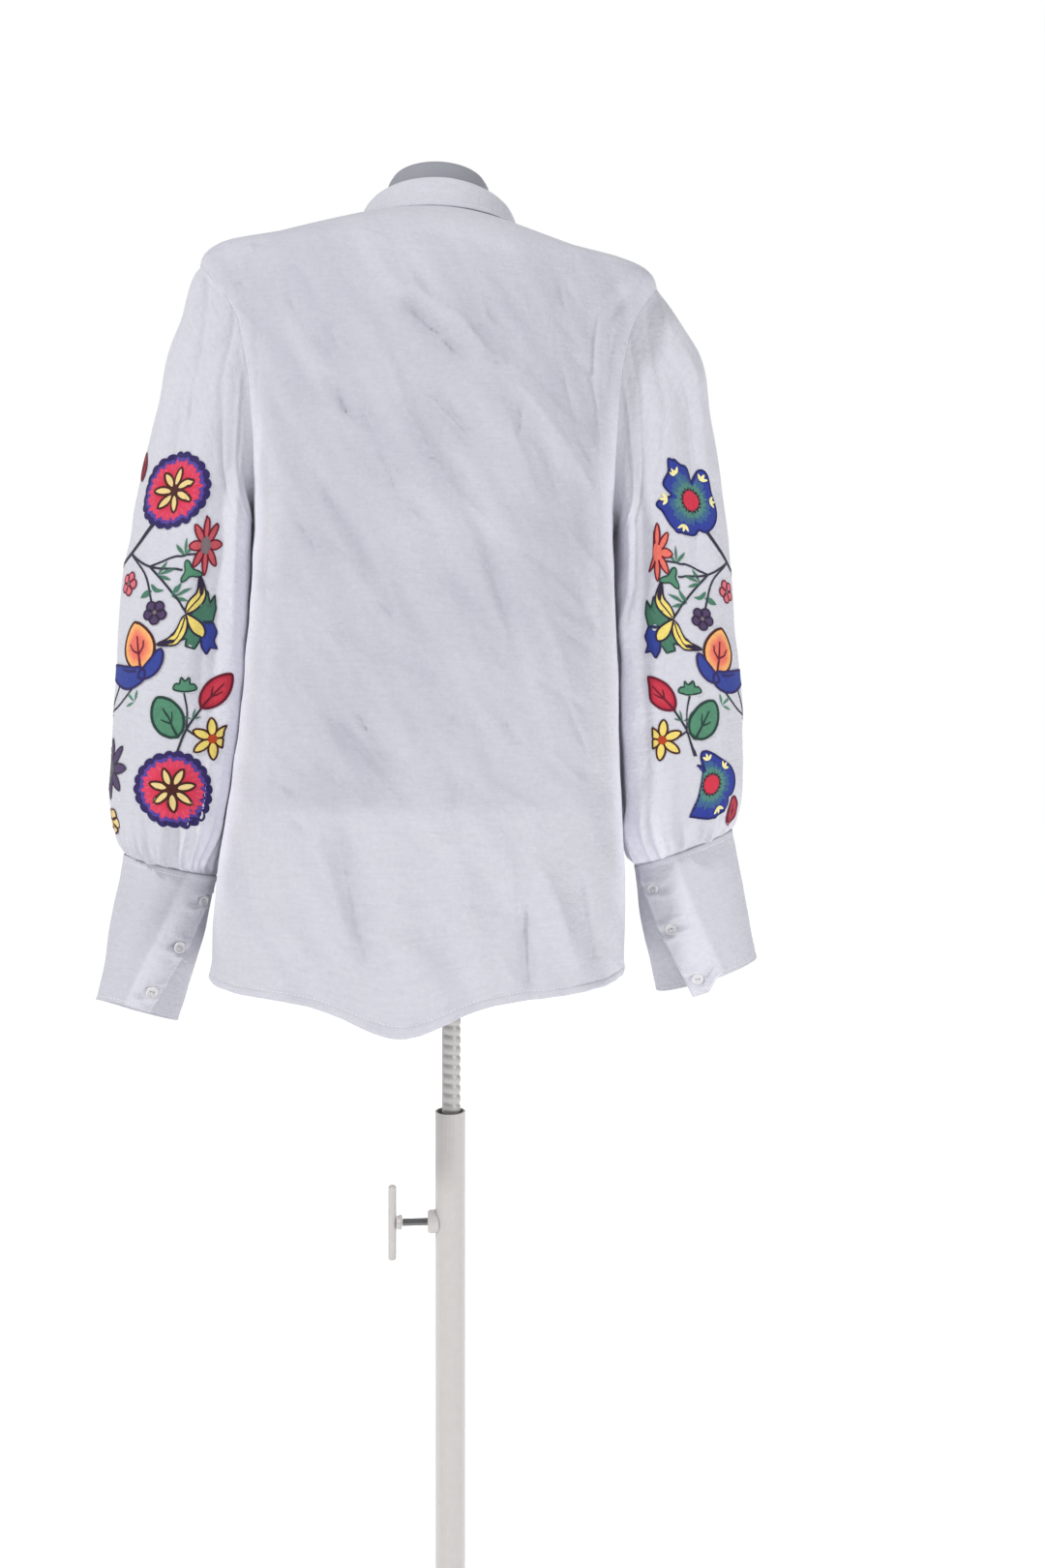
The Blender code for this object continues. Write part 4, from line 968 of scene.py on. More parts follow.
def panel(name, levels, angles, nodes):
    level = np.repeat(levels[:, None], angles.shape[1], axis=1)
    points, normals = body_surface(level, angles, hem_roll(body_base(level, angles), level))
    from_side = np.abs(np.abs(angles) - 90.0)
    seam = 0.0005 * hill(from_side, 0.0, 1.6) * (level < UNDERARM)
    points = points - normals * seam[..., None]
    # Painted light: near the back's sides below the armholes the cloth is lightened, in the hollow between
    # body and sleeve, as negative tone
    light = ease(90.0 - from_side, 52.0, 76.0) * (1.0 - ease(level, 4.2, 6.0)) * ease(level, 0.2, 1.4)
    tone = painted_show_through_and_shade(points, level) * (1.0 - light) - light
    thing = cloth_shell(name, points, normals, cloth, CLOTH_WALL, tone)
    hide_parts(*nodes)
    return thing


def body_panels():
    levels = BODY_LEVELS
    edge = 90.0 - armhole_width(levels, ARMHOLE_BACK)
    spread = np.linspace(-1.0, 1.0, PANEL_COLUMNS + 1)
    back = panel("cloth_back", levels, edge[:, None] * spread, ["back"])
    fronts = {}
    for side, sign in SIDES.items():
        start = (90.0 + armhole_width(levels, ARMHOLE_FRONT))[:, None]
        end = front_angle(levels, 0.0006)[:, None]
        part = np.linspace(0.0, 1.0, FRONT_COLUMNS + 1)
        angles = sign * (start + (end - start) * part)
        fronts[side] = panel("cloth_front_" + side, levels, angles, ["front_" + side])
    return back, fronts


def band_pucker(base):
    return 0.0003 * waves(base, 0.012, 51)


def button_band():
    levels = BODY_LEVELS[BODY_LEVELS < BAND_TOP]
    across = np.linspace(-BAND_HALF_WIDTH, BAND_HALF_WIDTH, 19)
    level = np.repeat(levels[:, None], len(across), axis=1)
    angle = front_angle(level, np.broadcast_to(across, level.shape))
    lift = BAND_LIFT + 0.0002 - 0.0007 * ease(np.abs(across), 0.0115, BAND_HALF_WIDTH)
    lift = lift - 0.0003 * hill(np.abs(across), BAND_STITCHES, 0.0008)
    lift = lift + band_pucker(body_base(level, angle))
    thing = cloth_shell("cloth_band", *body_surface(level, angle, lift), cloth, CLOTH_WALL)
    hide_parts("button_band")
    return thing


# Sleeves

SLEEVE_RINGS = np.concatenate((
    np.linspace(0.0, 1.0, 14, endpoint=False),
    np.linspace(1.0, 9.5, 78, endpoint=False),
    np.linspace(9.5, 14.0, 58),
))


def make_sleeve(side):
    turns = np.linspace(-180.0, 180.0, SLEEVE_TURNS + 1)
    ring, turn = np.meshgrid(SLEEVE_RINGS, turns, indexing="ij")
    start = armhole_tuck(side, turns)
    tucked = []
    for down, lift in ((0.010, -0.0010), (0.05, -0.0014)):
        downs = np.full(turns.shape, down)
        normal = cuff_normal(side, downs, turns)
        tucked.append((cuff_ring(side, downs, turns) + normal * lift, normal))
    points, normals = [
        np.concatenate([first[None], middle] + [row[None] for row in last])
        for first, middle, last in zip(start, sleeve_surface(side, ring, turn), zip(*tucked))
    ]
    # Painted light: the sleeve's half towards the body is lightened from its upper rings down, in the
    # hollow between sleeve and body
    light = ease(-cos_deg(turn), 0.1, 0.8) * ease(ring, 1.0, 4.5)
    light = np.concatenate([light[:1], light] + [light[-1:]] * len(tucked))
    thing = cloth_shell("cloth_sleeve_" + side, points, normals, cloth, CLOTH_WALL, -light)
    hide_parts("sleeve_" + side)
    return thing


# Cuffs: the puckers at a buttonhole, as place and width in millimetres along the cuff, and height

CUFF_LENGTH = 118.0
BUTTONHOLE_PUCKERS = (
    (5.6, 2.1, 0.00330), (2.4, 1.6, -0.00195), (-2.6, 1.7, -0.00150), (-6.2, 2.4, 0.00255),
)


def cuff_strip(down):
    """The width in degrees of the cuff's doubled edge."""
    return 50.0 - 16.0 * down


def cuff_relief(side, down, turn):
    """Raised edges, puckers at the buttonholes and soft bends of a cuff, in metres."""
    from_edge = cuff_edge_turn(side, down) + 360.0 - turn
    height = 0.0004 * (hill(from_edge, 0.0, 3.0) + 1.0 - ease(down, 0.0, 0.03) + ease(down, 0.97, 1.0))
    near = hill(from_edge, 16.0, 17.0)
    for hole in CUFF_BUTTONS[side]:
        bend = (down - hole) * CUFF_LENGTH + 2.0 * np.sin(from_edge * 0.11 + hole * 9.0)
        for at, width, size in BUTTONHOLE_PUCKERS:
            height = height + near * size * hill(bend, at, width)
    if side == "left":
        bends = 0.0030 * hill(from_edge, 84.0, 17.0) - 0.0020 * hill(from_edge, 46.0, 14.0)
        height = height + bends * ease(down, 0.0, 0.35)
    else:
        strip = cuff_strip(down)
        step = 1.0 - ease(from_edge, strip - 3.0, strip + 7.0)
        height = height + 0.0016 * step * ease(down, 0.0, 0.12)
    points = cuff_ring(side, down, turn)
    return height + 0.0005 * waves(points, 0.020, 61) + 0.0008 * waves(points, 0.055, 62) * down


def cuff_cloth(side, down, turn, lift=0.0):
    return cuff_surface(side, down, turn, cuff_relief(side, down, turn) + lift)


def make_cuff(side):
    downs = np.concatenate((
        np.linspace(0.0, 0.05, 5, endpoint=False),
        np.linspace(0.05, 0.95, 34, endpoint=False),
        np.linspace(0.95, 1.0, 5),
    ))
    part = np.linspace(0.0, 1.0, 181)
    down = np.repeat(downs[:, None], len(part), axis=1)
    turn = cuff_edge_turn(side, down) - CUFF_OVERLAP + (360.0 + CUFF_OVERLAP) * part
    points, normals = cuff_cloth(side, down, turn)
    lip = points[:1] + (0.0, 0.0, 0.0017) - normals[:1] * 0.0003
    from_edge = cuff_edge_turn(side, down) + 360.0 - turn
    strip = cuff_strip(down)
    # Painted light and shade: the raised doubled strip by the cuff's edge is lightened as if lit, and the
    # rest of the cuff is darkened
    tone = 0.30 - 0.60 * (1.0 - ease(from_edge, strip, strip + 7.0))
    thing = cloth_shell("cloth_cuff_" + side, np.concatenate([lip, points]),
                        np.concatenate([normals[:1], normals]), cloth, CUFF_CLOTH_WALL,
                        np.concatenate([tone[:1], tone]))
    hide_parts("cuff_" + side)
    return thing


# Collar

FALL_ROWS = np.concatenate((np.linspace(0.0, 2.0, 10, endpoint=False), np.linspace(2.0, 5.0, 26)))


def fall_cloth(row, angle, lift=0.0):
    points, outward = fall_surface(row, angle)
    near_edge = ease(row, 4.55, 4.75)
    height = 0.0004 * (near_edge - hill(row, FALL_STITCHES, 0.08))
    height = height + 0.0004 * waves(points, 0.022, 71) + 0.0003 * waves(points, 0.010, 72)
    return points + outward * (height + lift)[..., None], outward


def make_collar():
    angles = np.linspace(-180.0 - STAND_LAP, 180.0, 221)
    up, angle = np.meshgrid(np.linspace(0.0, 1.0, 14), angles, indexing="ij")
    stand = cloth_shell("cloth_collar_stand", *stand_surface(up, angle), cloth, STAND_CLOTH_WALL)
    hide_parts("collar_stand")
    row, angle = np.meshgrid(FALL_ROWS, np.linspace(-FALL_END, FALL_END, 241), indexing="ij")
    points, outward = fall_cloth(row, angle)

    def base(at_row, at_angle):
        return fall_surface(at_row, at_angle)[0]

    normals = normals_of(base, np.clip(row, 0.05, 4.95), angle, 0.05, 0.5)
    middle = len(outward[0]) // 2
    facing = np.sign(np.sum(normals[-3, middle] * outward[-3, middle]))
    fall = cloth_shell("cloth_collar_fall", points, normals * facing, cloth, FALL_CLOTH_WALL)
    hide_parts("collar_fall")
    return stand, fall


# Print

def ink(red, green, blue):
    """A colour as it looks on the cloth, 0 to 255, for the renderer."""
    values = np.array((red, green, blue)) / 255.0
    return np.where(values <= 0.04045, values / 12.92, ((values + 0.055) / 1.055) ** 2.4)


NAVY, VIOLET, INK_BLUE = ink(46, 36, 92), ink(84, 66, 150), ink(50, 66, 146)
RED, ROSE, SALMON, PINK = ink(204, 48, 70), ink(196, 84, 92), ink(228, 112, 96), ink(216, 110, 122)
WINE, BROWN, RUST = ink(104, 22, 42), ink(70, 30, 26), ink(178, 66, 30)
CREAM, YELLOW, APRICOT = ink(230, 205, 140), ink(234, 212, 112), ink(242, 178, 108)
PLUM, DARK_PLUM = ink(78, 60, 96), ink(44, 34, 58)
GREEN, LEAF, DARK_GREEN, TEAL = ink(80, 134, 106), ink(70, 118, 96), ink(34, 62, 54), ink(76, 128, 122)
STEM, GREY = ink(46, 48, 62), ink(120, 106, 110)
BLUE_EDGE, DEEP_BLUE, BLUE_TEAL = ink(30, 34, 96), ink(44, 58, 146), ink(58, 92, 138)
RED_RIM, RED_LEAF, RED_LEAF_RIM = ink(214, 62, 92), ink(200, 56, 74), ink(190, 44, 66)
# Heights over the cloth, so that later shapes lie on earlier ones
PRINT_LAYERS = (0.00042, 0.00054, 0.00066, 0.00078, 0.00090)
FILL_STEP, LINE_STEP = 3.2, 1.8


def smooth_curve(points, closed=False, steps=5):
    """A smooth curve through points."""
    points = np.asarray(points, float)
    if closed:
        around = np.concatenate((points[-1:], points, points[:2]))
    else:
        around = np.concatenate((2 * points[:1] - points[1:2], points, 2 * points[-1:] - points[-2:-1]))
    part = np.linspace(0.0, 1.0, steps, endpoint=False)[:, None]
    spans = []
    for a, b, c, d in zip(around[:-3], around[1:-2], around[2:-1], around[3:]):
        spans.append(0.5 * (2 * b + (c - a) * part + (2 * a - 5 * b + 4 * c - d) * part**2
                            + (3 * b - a - 3 * c + d) * part**3))
    if not closed:
        spans.append(points[-1:])
    return np.concatenate(spans)


def leaf_shape(length, width, sharp=1.0, start=0.0, belly=0.9, count=15):
    """The outline of a leaf or petal that points up from its start."""
    part = np.linspace(0.0, 1.0, count)
    half = width / 2 * np.sin(math.pi * part**belly) ** sharp
    right = np.stack((half, start + part * (length - start)), axis=-1)
    return np.concatenate((right, (right * (-1.0, 1.0))[-2:0:-1]))


def horn_shape(points, width, sharp=0.8, belly=0.8):
    """The outline of a curved petal about a bent middle line."""
    line = smooth_curve(points, steps=6)
    part = np.linspace(0.0, 1.0, len(line))
    half = width / 2 * np.sin(math.pi * np.clip(part, 0.0, 1.0)**belly) ** sharp
    ahead = unit(np.gradient(line, axis=0))
    side = np.stack((ahead[:, 1], -ahead[:, 0]), axis=-1) * half[:, None]
    return np.concatenate((line + side, (line - side)[-2:0:-1]))


def turned(points, degrees, shift=(0.0, 0.0)):
    angle = math.radians(degrees)
    turn = np.array(((math.cos(angle), math.sin(angle)), (-math.sin(angle), math.cos(angle))))
    return np.asarray(points, float) @ turn + shift


class Pen:
    """Gathers the flat coloured shapes of a sleeve's print, in millimetres of the sleeve's chart."""

    def __init__(self, seed):
        self.points, self.lifts, self.tints, self.faces = [], [], [], []
        self.count = 0
        self.chance = np.random.default_rng(seed)
        self.mirror = 1.0
        self.edge = None

    def at(self, x, z, size=1.0, turn=0.0, flip=1.0, wide=1.0):
        self.spot = (x, z)
        self.size, self.turn, self.flip, self.wide = size, turn, flip, wide

    def placed(self, points):
        points = turned(np.asarray(points, float) * (self.size * self.flip, self.size), self.turn)
        points = points * (self.wide, 1.0) + self.spot
        if self.edge is not None:
            points[:, 0] = np.minimum(points[:, 0], np.interp(points[:, 1], *self.edge))
        return points * (self.mirror, 1.0)

    def keep(self, points, faces, tints, layer):
        points = points.reshape(-1, 2)
        flat = points[faces]
        ahead = np.roll(flat, -1, axis=1)
        area = np.sum(flat[..., 0] * ahead[..., 1] - ahead[..., 0] * flat[..., 1])
        faces = faces if area > 0 else faces[:, ::-1]
        self.points.append(points)
        self.lifts.append(np.full(len(points), PRINT_LAYERS[layer]))
        self.tints.append(tints * self.chance.uniform(0.90, 1.08, (len(points), 1)))
        self.faces.append(faces + self.count)
        self.count += len(points)

    def fill(self, outline, colour, layer, rim=None, centre=None):
        outline = self.placed(outline)
        middle = outline.mean(axis=0) if centre is None else self.placed([centre])[0]
        reach = np.linalg.norm(outline - middle, axis=1).max()
        parts = np.linspace(0.0, 1.0, max(2, int(math.ceil(reach / FILL_STEP))) + 1)
        parts[0] = 0.01
        points = middle + (outline - middle)[None] * parts[:, None, None]
        blend = ease(parts, 0.45, 0.9)[:, None, None] * np.ones((1, len(outline), 1))
        tints = colour * (1.0 - blend) + (colour if rim is None else rim) * blend
        self.keep(points, ring_faces(len(parts), len(outline)), tints.reshape(-1, 3), layer)

    def line(self, points, width, colour, layer, taper=1.0, closed=False):
        path = self.placed(points)
        if closed:
            path = np.concatenate((path, path[:1]))
        lengths = np.linalg.norm(np.diff(path, axis=0), axis=1)
        run = np.concatenate(([0.0], np.cumsum(lengths)))
        count = max(2, int(run[-1] / LINE_STEP) + 1, len(path))
        at = np.linspace(0.0, run[-1], count)
        path = np.stack((np.interp(at, run, path[:, 0]), np.interp(at, run, path[:, 1])), axis=-1)
        ahead = unit(np.gradient(path, axis=0) + 1e-9)
        if closed:
            ahead[0] = ahead[-1] = unit(ahead[0] + ahead[-1])
        side = np.stack((-ahead[:, 1], ahead[:, 0]), axis=-1)
        half = width / 2 * (1.0 + (taper - 1.0) * np.linspace(0.0, 1.0, count))[:, None]
        points = np.stack((path - side * half, path + side * half), axis=1)
        self.keep(points, grid_faces(count, 2), np.broadcast_to(colour, (count * 2, 3)), layer)

    def disc(self, radius, colour, layer, count):
        self.fill(polar(radius, np.linspace(0.0, FULL_TURN, count, endpoint=False)), colour, layer)

    def shape(self, outline, colour, edge, width, layer, rim=None, centre=None):
        self.fill(outline, colour, layer, rim, centre)
        self.line(outline, width, edge, layer + 1, closed=True)


def polar(radius, angle):
    return np.stack((radius * np.sin(angle), radius * np.cos(angle)), axis=-1)


def round_flower(pen, radius=29.0):
    angle = np.linspace(0.0, FULL_TURN, 176, endpoint=False)
    scallop = radius * (0.93 + 0.07 * np.abs(np.cos(angle * 11.0)) ** 0.8)
    jag = 0.035 * np.sin(angle * 29.0) + 0.03 * np.sin(angle * 17.0 + 1.0)
    pen.shape(polar(scallop, angle), VIOLET, NAVY, 1.6, 0, rim=NAVY)
    pen.fill(polar(radius * (0.86 + jag * 0.6), angle), VIOLET, 1)
    pen.fill(polar(radius * (0.765 + jag), angle), RED, 2, rim=RED_RIM)
    for number in range(26):
        spoke = math.radians(number * 360 / 26 + 5)
        ends = polar(radius * np.array((0.60, 0.74)), np.full(2, spoke))
        pen.line(ends, 0.7, ink(226, 92, 116), 3, taper=0.4)
    for number in range(7):
        petal = leaf_shape(radius * 0.60, radius * 0.21, 0.55, radius * 0.11)
        pen.shape(turned(petal, number * 360 / 7 + 15), CREAM, BROWN, 1.8, 3)
    angle = angle[::8]
    pen.fill(polar(radius * (0.115 + 0.02 * np.sin(angle * 7)), angle), BROWN, 4)


def blue_flower(pen, radius=29.0):
    angle = np.linspace(0.0, 360.0, 180, endpoint=False)

    def bump(at, width):
        return hill(turn_away(angle, at), 0.0, width)

    size = 0.93 - 0.46 * bump(10, 9) - 0.34 * bump(278, 10) - 0.13 * bump(166, 7) + 0.30 * bump(331, 9)
    size = size + 0.08 * bump(30, 16) + 0.12 * bump(262, 9) - 0.16 * bump(75, 32) + 0.04 * bump(215, 30)
    turn = np.radians(angle)
    jag = 0.03 * np.sin(turn * 19.0) + 0.03 * np.sin(turn * 31.0 + 1.0)
    pen.shape(polar(radius * size, turn), INK_BLUE, BLUE_EDGE, 1.8, 0, DEEP_BLUE, (0, 0))
    pen.fill(polar(radius * (size * 0.70 + jag), turn), TEAL, 1, BLUE_TEAL, (0, 0))
    pen.fill(polar(radius * (0.40 + 0.08 * size + jag), turn), ink(84, 136, 112), 2, rim=TEAL)
    pen.fill(polar(radius * (0.325 + jag), turn), ink(58, 20, 40), 3)
    pen.fill(polar(radius * (0.265 + jag * 0.4), turn), RED, 4)
    for at, reach in ((327.0, 0.79), (34.0, 0.70), (88.0, 0.60), (200.0, 0.72), (268.0, 0.74)):
        spot = polar(radius * reach, math.radians(at))
        for lean in (-48.0, 0.0, 48.0):
            petal = leaf_shape(radius * 0.21, radius * 0.085, 0.7)
            pen.fill(turned(turned(petal, lean), -at, spot), ink(236, 226, 160), 3)


def five_petals(pen, radius, colour, edge, heart):
    round_petal = polar(radius * 0.40, np.linspace(0.0, FULL_TURN, 18, endpoint=False))
    for number in range(5):
        petal = turned(round_petal + (0.0, radius * 0.58), number * 72.0 + 36.0)
        pen.shape(petal, colour, edge, 1.3, 1)
    pen.disc(radius * 0.17, heart, 3, 16)


def many_petals(pen, radius, colour, edge, heart, count=8):
    for number in range(count):
        petal = leaf_shape(radius, radius * 2.6 / count, 0.6, radius * 0.15)
        pen.shape(turned(petal, number * 360 / count), colour, edge, 1.2, 1)
    angle = np.linspace(0.0, FULL_TURN, 20, endpoint=False)
    pen.fill(polar(radius * (0.30 + 0.03 * np.sin(angle * 5)), angle), heart, 3)


def sprig(pen, length, leans, colour=LEAF):
    for number, lean in enumerate(leans):
        size = length * (1.0 if number % 2 else 0.80)
        pen.fill(turned(leaf_shape(size, length * 0.17, 1.1, 0.0, 1.15), -lean), colour, 0)


def veined_leaf(pen, length, width, colour, edge, sharp=0.72, rim=None, edge_width=2.1):
    pen.shape(leaf_shape(length, width, sharp), colour, edge, edge_width, 0, rim=rim)
    middle = [(0.0, -1.0), (0.0, length * 0.32), (width * 0.02, length * 0.72)]
    pen.line(middle, 2.0, edge, 2, taper=0.5)
    for vein in (((0.0, 0.34), (0.12, 0.44), (0.20, 0.57)), ((0.0, 0.34), (-0.12, 0.42), (-0.22, 0.52))):
        pen.line(np.array(vein) * (width, length), 1.6, edge, 2, taper=0.5)


def lobed_leaf(pen, size):
    angle = np.linspace(0.0, FULL_TURN, 48, endpoint=False)
    radius = size * (0.62 + 0.30 * np.cos(angle * 3.0) + 0.08 * np.cos(angle * 6.0))
    pen.shape(polar(radius, angle), GREEN, DARK_GREEN, 1.2, 0, centre=(0, 0))


def lily(pen):
    upper = [(3, -3), (6, 5), (12, 9), (14.5, 19), (17, 9), (20.5, 16), (22, 5), (20, -6), (10, -7)]
    lower = [(1, -3), (2, -12), (-4, -21), (2, -19), (1, -25), (8, -27), (12, -19), (11, -9), (6, -5)]
    blue = [(10, -6), (20, -5), (24, -13), (22, -20), (25, -26), (20, -25), (17, -31), (13, -25), (11, -15)]
    for petal, colour, edge, width in (
        (blue, INK_BLUE, NAVY, 1.5), (lower, LEAF, DARK_GREEN, 1.4), (upper, LEAF, DARK_GREEN, 1.4),
    ):
        pen.shape(petal, colour, edge, width, 0)
    for bend in ([(0, 0), (5, 7), (10, 16), (8, 30)], [(0, -1), (-3, -13), (-9, -21), (-21, -24)]):
        pen.shape(horn_shape(bend, 8.5), YELLOW, DARK_PLUM, 1.4, 2)
        line = smooth_curve(bend, steps=6)
        pen.line(line[1:-4], 1.0, DARK_PLUM, 4)
        pen.fill(horn_shape(line[-8:], 3.4), DARK_PLUM, 4)
    pen.shape(turned(leaf_shape(22.0, 9.0, 0.6, 0.0, 1.5), -140.0), YELLOW, DARK_PLUM, 1.5, 2)


def stem(pen, start, end, bow, width):
    """A stem between two places, bent sideways by a share of its length; gives back its middle."""
    start, end = np.array(start, float), np.array(end, float)
    run = end - start
    middle = (start + end) / 2 + bow * np.array((-run[1], run[0]))
    pen.line(smooth_curve([start, middle, end]), width, STEM, 0)
    return middle


def printed_half(pen, big_flower, side_flower, slip):
    """The motifs of one half of a sleeve, from its outer edge at x 0; slip moves the lower spray."""
    pen.at(0, 0)
    fork = stem(pen, (58, 1150), (0, 1112), 0.12, 3.2)
    twig = stem(pen, fork, (82, 1109), -0.10, 1.7)
    for start, end, bow, width in (
        (twig, (94, 1121), 0.06, 1.6), (fork, (61, 1083), 0.12, 1.6), (twig, (88, 1076), 0.03, 1.8),
        ((58, 1026), (0, 996), 0.13, 1.6),
    ):
        stem(pen, start, end, bow, width)
    fork = stem(pen, (90 + slip, 966), (106 + slip, 1004), 0.06, 1.8)
    for start, end, bow, width in (
        (fork, (112 + slip, 980), -0.10, 1.5), ((91 + slip, 1014), fork, 0.05, 1.3),
        ((33, 1021), (22, 976), -0.06, 1.4), ((4, 940), (2, 920), 0.0, 1.2),
    ):
        stem(pen, start, end, bow, width)
    pen.at(67, 1170, flip=-1.0)
    big_flower(pen)
    pen.at(98, 1128, wide=0.52, turn=4)
    many_petals(pen, *side_flower)
    for x, z, turn, length in ((83, 1119, 0, 15), (63, 1105, -72, 16), (76, 1088, -66, 17)):
        pen.at(x, z, turn=turn)
        sprig(pen, length, (-38.0, 0.0, 38.0))
    pen.at(99 + slip, 994)
    sprig(pen, 9, (-74.0, 12.0, 74.0))
    pen.at(60, 1093, turn=118)
    pen.fill(leaf_shape(11.0, 5.0, 0.8), LEAF, 0)
    pen.at(59, 1098, turn=-110)
    pen.fill(horn_shape([(0, 0), (3, 6), (1, 12)], 3.4), LEAF, 0)
    pen.at(54, 1007, turn=52)
    sprig(pen, 12, (-58.0, 0.0, 58.0), GREEN)
    pen.at(88, 1107, turn=20)
    lobed_leaf(pen, 9.5)
    pen.at(64, 1076, turn=0)
    five_petals(pen, 9.5, PLUM, DARK_PLUM, GREY)
    pen.at(36, 1100, turn=10)
    five_petals(pen, 9.5, PINK, WINE, GREY)
    pen.at(88, 1075)
    lily(pen)
    pen.at(57, 1031, turn=16)
    pen.shape(leaf_shape(40.0, 28.0, 0.66), SALMON, BROWN, 2.1, 0, rim=APRICOT)
    for vein, width in (([(0, 0), (0, 15), (1, 28)], 2.0), ([(0, 13), (5, 18), (6, 23)], 1.6),
                        ([(0, 14), (-5, 18), (-7, 24)], 1.6)):
        pen.line(vein, width, WINE, 2, taper=0.6)
    pen.at(58, 1029)
    for bend, width, sharp in (([(2, 2), (-9, -3), (-22, -1), (-38, 6)], 17.0, 0.45),
                               ([(-3, -3), (5, 2), (10, 9), (13, 19)], 10.5, 0.5)):
        pen.shape(horn_shape(bend, width, sharp, 0.9), INK_BLUE, NAVY, 1.9, 2)
    pen.line([(-6, 2), (-14, 2), (-22, 4)], 2.2, NAVY, 4, taper=0.4)
    pen.at(90 + slip, 980, turn=32)
    veined_leaf(pen, 36.0, 22.0, GREEN, DARK_GREEN, 0.62)
    pen.at(105 + slip, 1003, turn=-38)
    veined_leaf(pen, 34.0, 19.0, RED_LEAF, WINE, rim=RED_LEAF_RIM)
    pen.at(91 + slip, 1017)
    cap = [(-9, 0), (0, -2), (9, 0), (7, 4), (4, 4), (3, 9), (0, 6), (-3, 9), (-4, 4), (-7, 4)]
    pen.shape(smooth_curve(cap, True, 4), GREEN, DARK_GREEN, 1.3, 0)
    pen.at(116 + slip, 979)
    for number in range(6):
        pen.shape(turned(leaf_shape(16.5, 7.0, 0.55, 2.0), number * 60.0 + 8.0), YELLOW, BROWN, 1.5, 1)
    pen.disc(3.6, RUST, 3, 16)


# Where folds cut the print: heights, and how far it reaches from the sleeve's outer edge there
PRINT_EDGE = {
    "left": ((950, 985, 1000, 1035, 1045, 1090, 1140, 1150, 1210),
             (124, 124, 130, 130, 114, 114, 114, 96, 96)),
    "right": ((915, 958, 962, 1023, 1045, 1100, 1125, 1170, 1210),
              (75, 73, 114, 113, 114, 110, 101, 98, 98)),
}
PRINT_SEED = {"left": 5, "right": 6}


def left_print(pen):
    printed_half(pen, round_flower, (23.0, ROSE, WINE, GREY), 0.0)
    pen.at(88, 940, turn=8)
    round_flower(pen)


def left_uncut_print(pen):
    pen.at(28, 956)
    many_petals(pen, 24.0, PLUM, DARK_PLUM, ink(84, 88, 92))
    pen.at(30, 916)
    five_petals(pen, 10.0, CREAM, BROWN, RUST)
    pen.at(30, 1182, turn=14)
    veined_leaf(pen, 24.0, 10.0, ink(150, 44, 60), WINE)


def right_print(pen):
    printed_half(pen, blue_flower, (23.0, SALMON, WINE, SALMON), -10.0)
    pen.at(65, 944, size=0.96, turn=-50, flip=-1.0, wide=0.9)
    blue_flower(pen)
    pen.at(32, 912, turn=-20)
    veined_leaf(pen, 24.0, 13.0, ink(176, 50, 68), WINE)


def make_print(side):
    """A sleeve's print: what the photo shows, its mirror image on the other half, and what is uncut."""
    pen = Pen(PRINT_SEED[side])
    for mirror in (-SIDES[side], SIDES[side]):
        pen.mirror = mirror
        pen.edge = PRINT_EDGE[side] if mirror == -SIDES[side] else None
        (left_print if side == "left" else right_print)(pen)
    pen.edge = None
    if side == "left":
        for mirror in (1.0, -1.0):
            pen.mirror = mirror
            left_uncut_print(pen)
    x, z = np.concatenate(pen.points).T
    lifts = np.concatenate(pen.lifts) + CLOTH_WALL / 2
    points, _ = on_sleeve(side, sleeve_chart(side), x, z, lifts)
    tints = np.clip(np.concatenate(pen.tints), 0.0, 1.0)
    tints = np.concatenate((tints, np.ones((len(tints), 1))), axis=1)
    faces = [face for group in pen.faces for face in group.tolist()]
    new_piece("print_" + side, points, faces, motif, tint=tints)


# Stitches

THREAD_STATIONS = np.array((-0.5, -0.34, 0.34, 0.5))
THREAD_THICKNESS = np.array((0.3, 1.0, 1.0, 0.3))
THREAD_SIDES = 6


def stitch_row(name, points, normals, pitch=0.0030, length=0.0021, radius=0.00022):
    """Short raised threads along a line of points."""
    lengths = np.linalg.norm(np.diff(points, axis=0), axis=1)
    run = np.concatenate(([0.0], np.cumsum(lengths)))

    def along(values, at):
        return np.stack([np.interp(at, run, column) for column in np.asarray(values).T], axis=-1)

    centres = np.arange(pitch / 2, run[-1] - pitch / 2, pitch)
    at = (centres[:, None] + THREAD_STATIONS * length).ravel()
    up = unit(along(normals, at))
    side = unit(np.cross(along(points, at + 1e-4) - along(points, at - 1e-4), up))
    turn = np.linspace(0.0, FULL_TURN, THREAD_SIDES, endpoint=False)[:, None]
    thick = np.tile(THREAD_THICKNESS * radius, len(centres))[:, None, None]
    ring = (side[:, None] * np.cos(turn) * 1.3 + up[:, None] * np.sin(turn) * 0.8) * thick
    rings = along(points, at)[:, None] + ring
    stations = len(THREAD_STATIONS)
    faces = [ring_faces(stations, THREAD_SIDES, start=start * THREAD_SIDES)
             for start in range(0, len(at), stations)]
    return new_piece(name, rings, np.concatenate(faces), thread)


def hem_line(angles):
    level = np.full(angles.shape, HEM_STITCHES / HEM_SPAN)
    lift = hem_roll(body_base(level, angles), level) + CLOTH_WALL / 2 + STITCH_LIFT
    return body_surface(level, angles, lift)


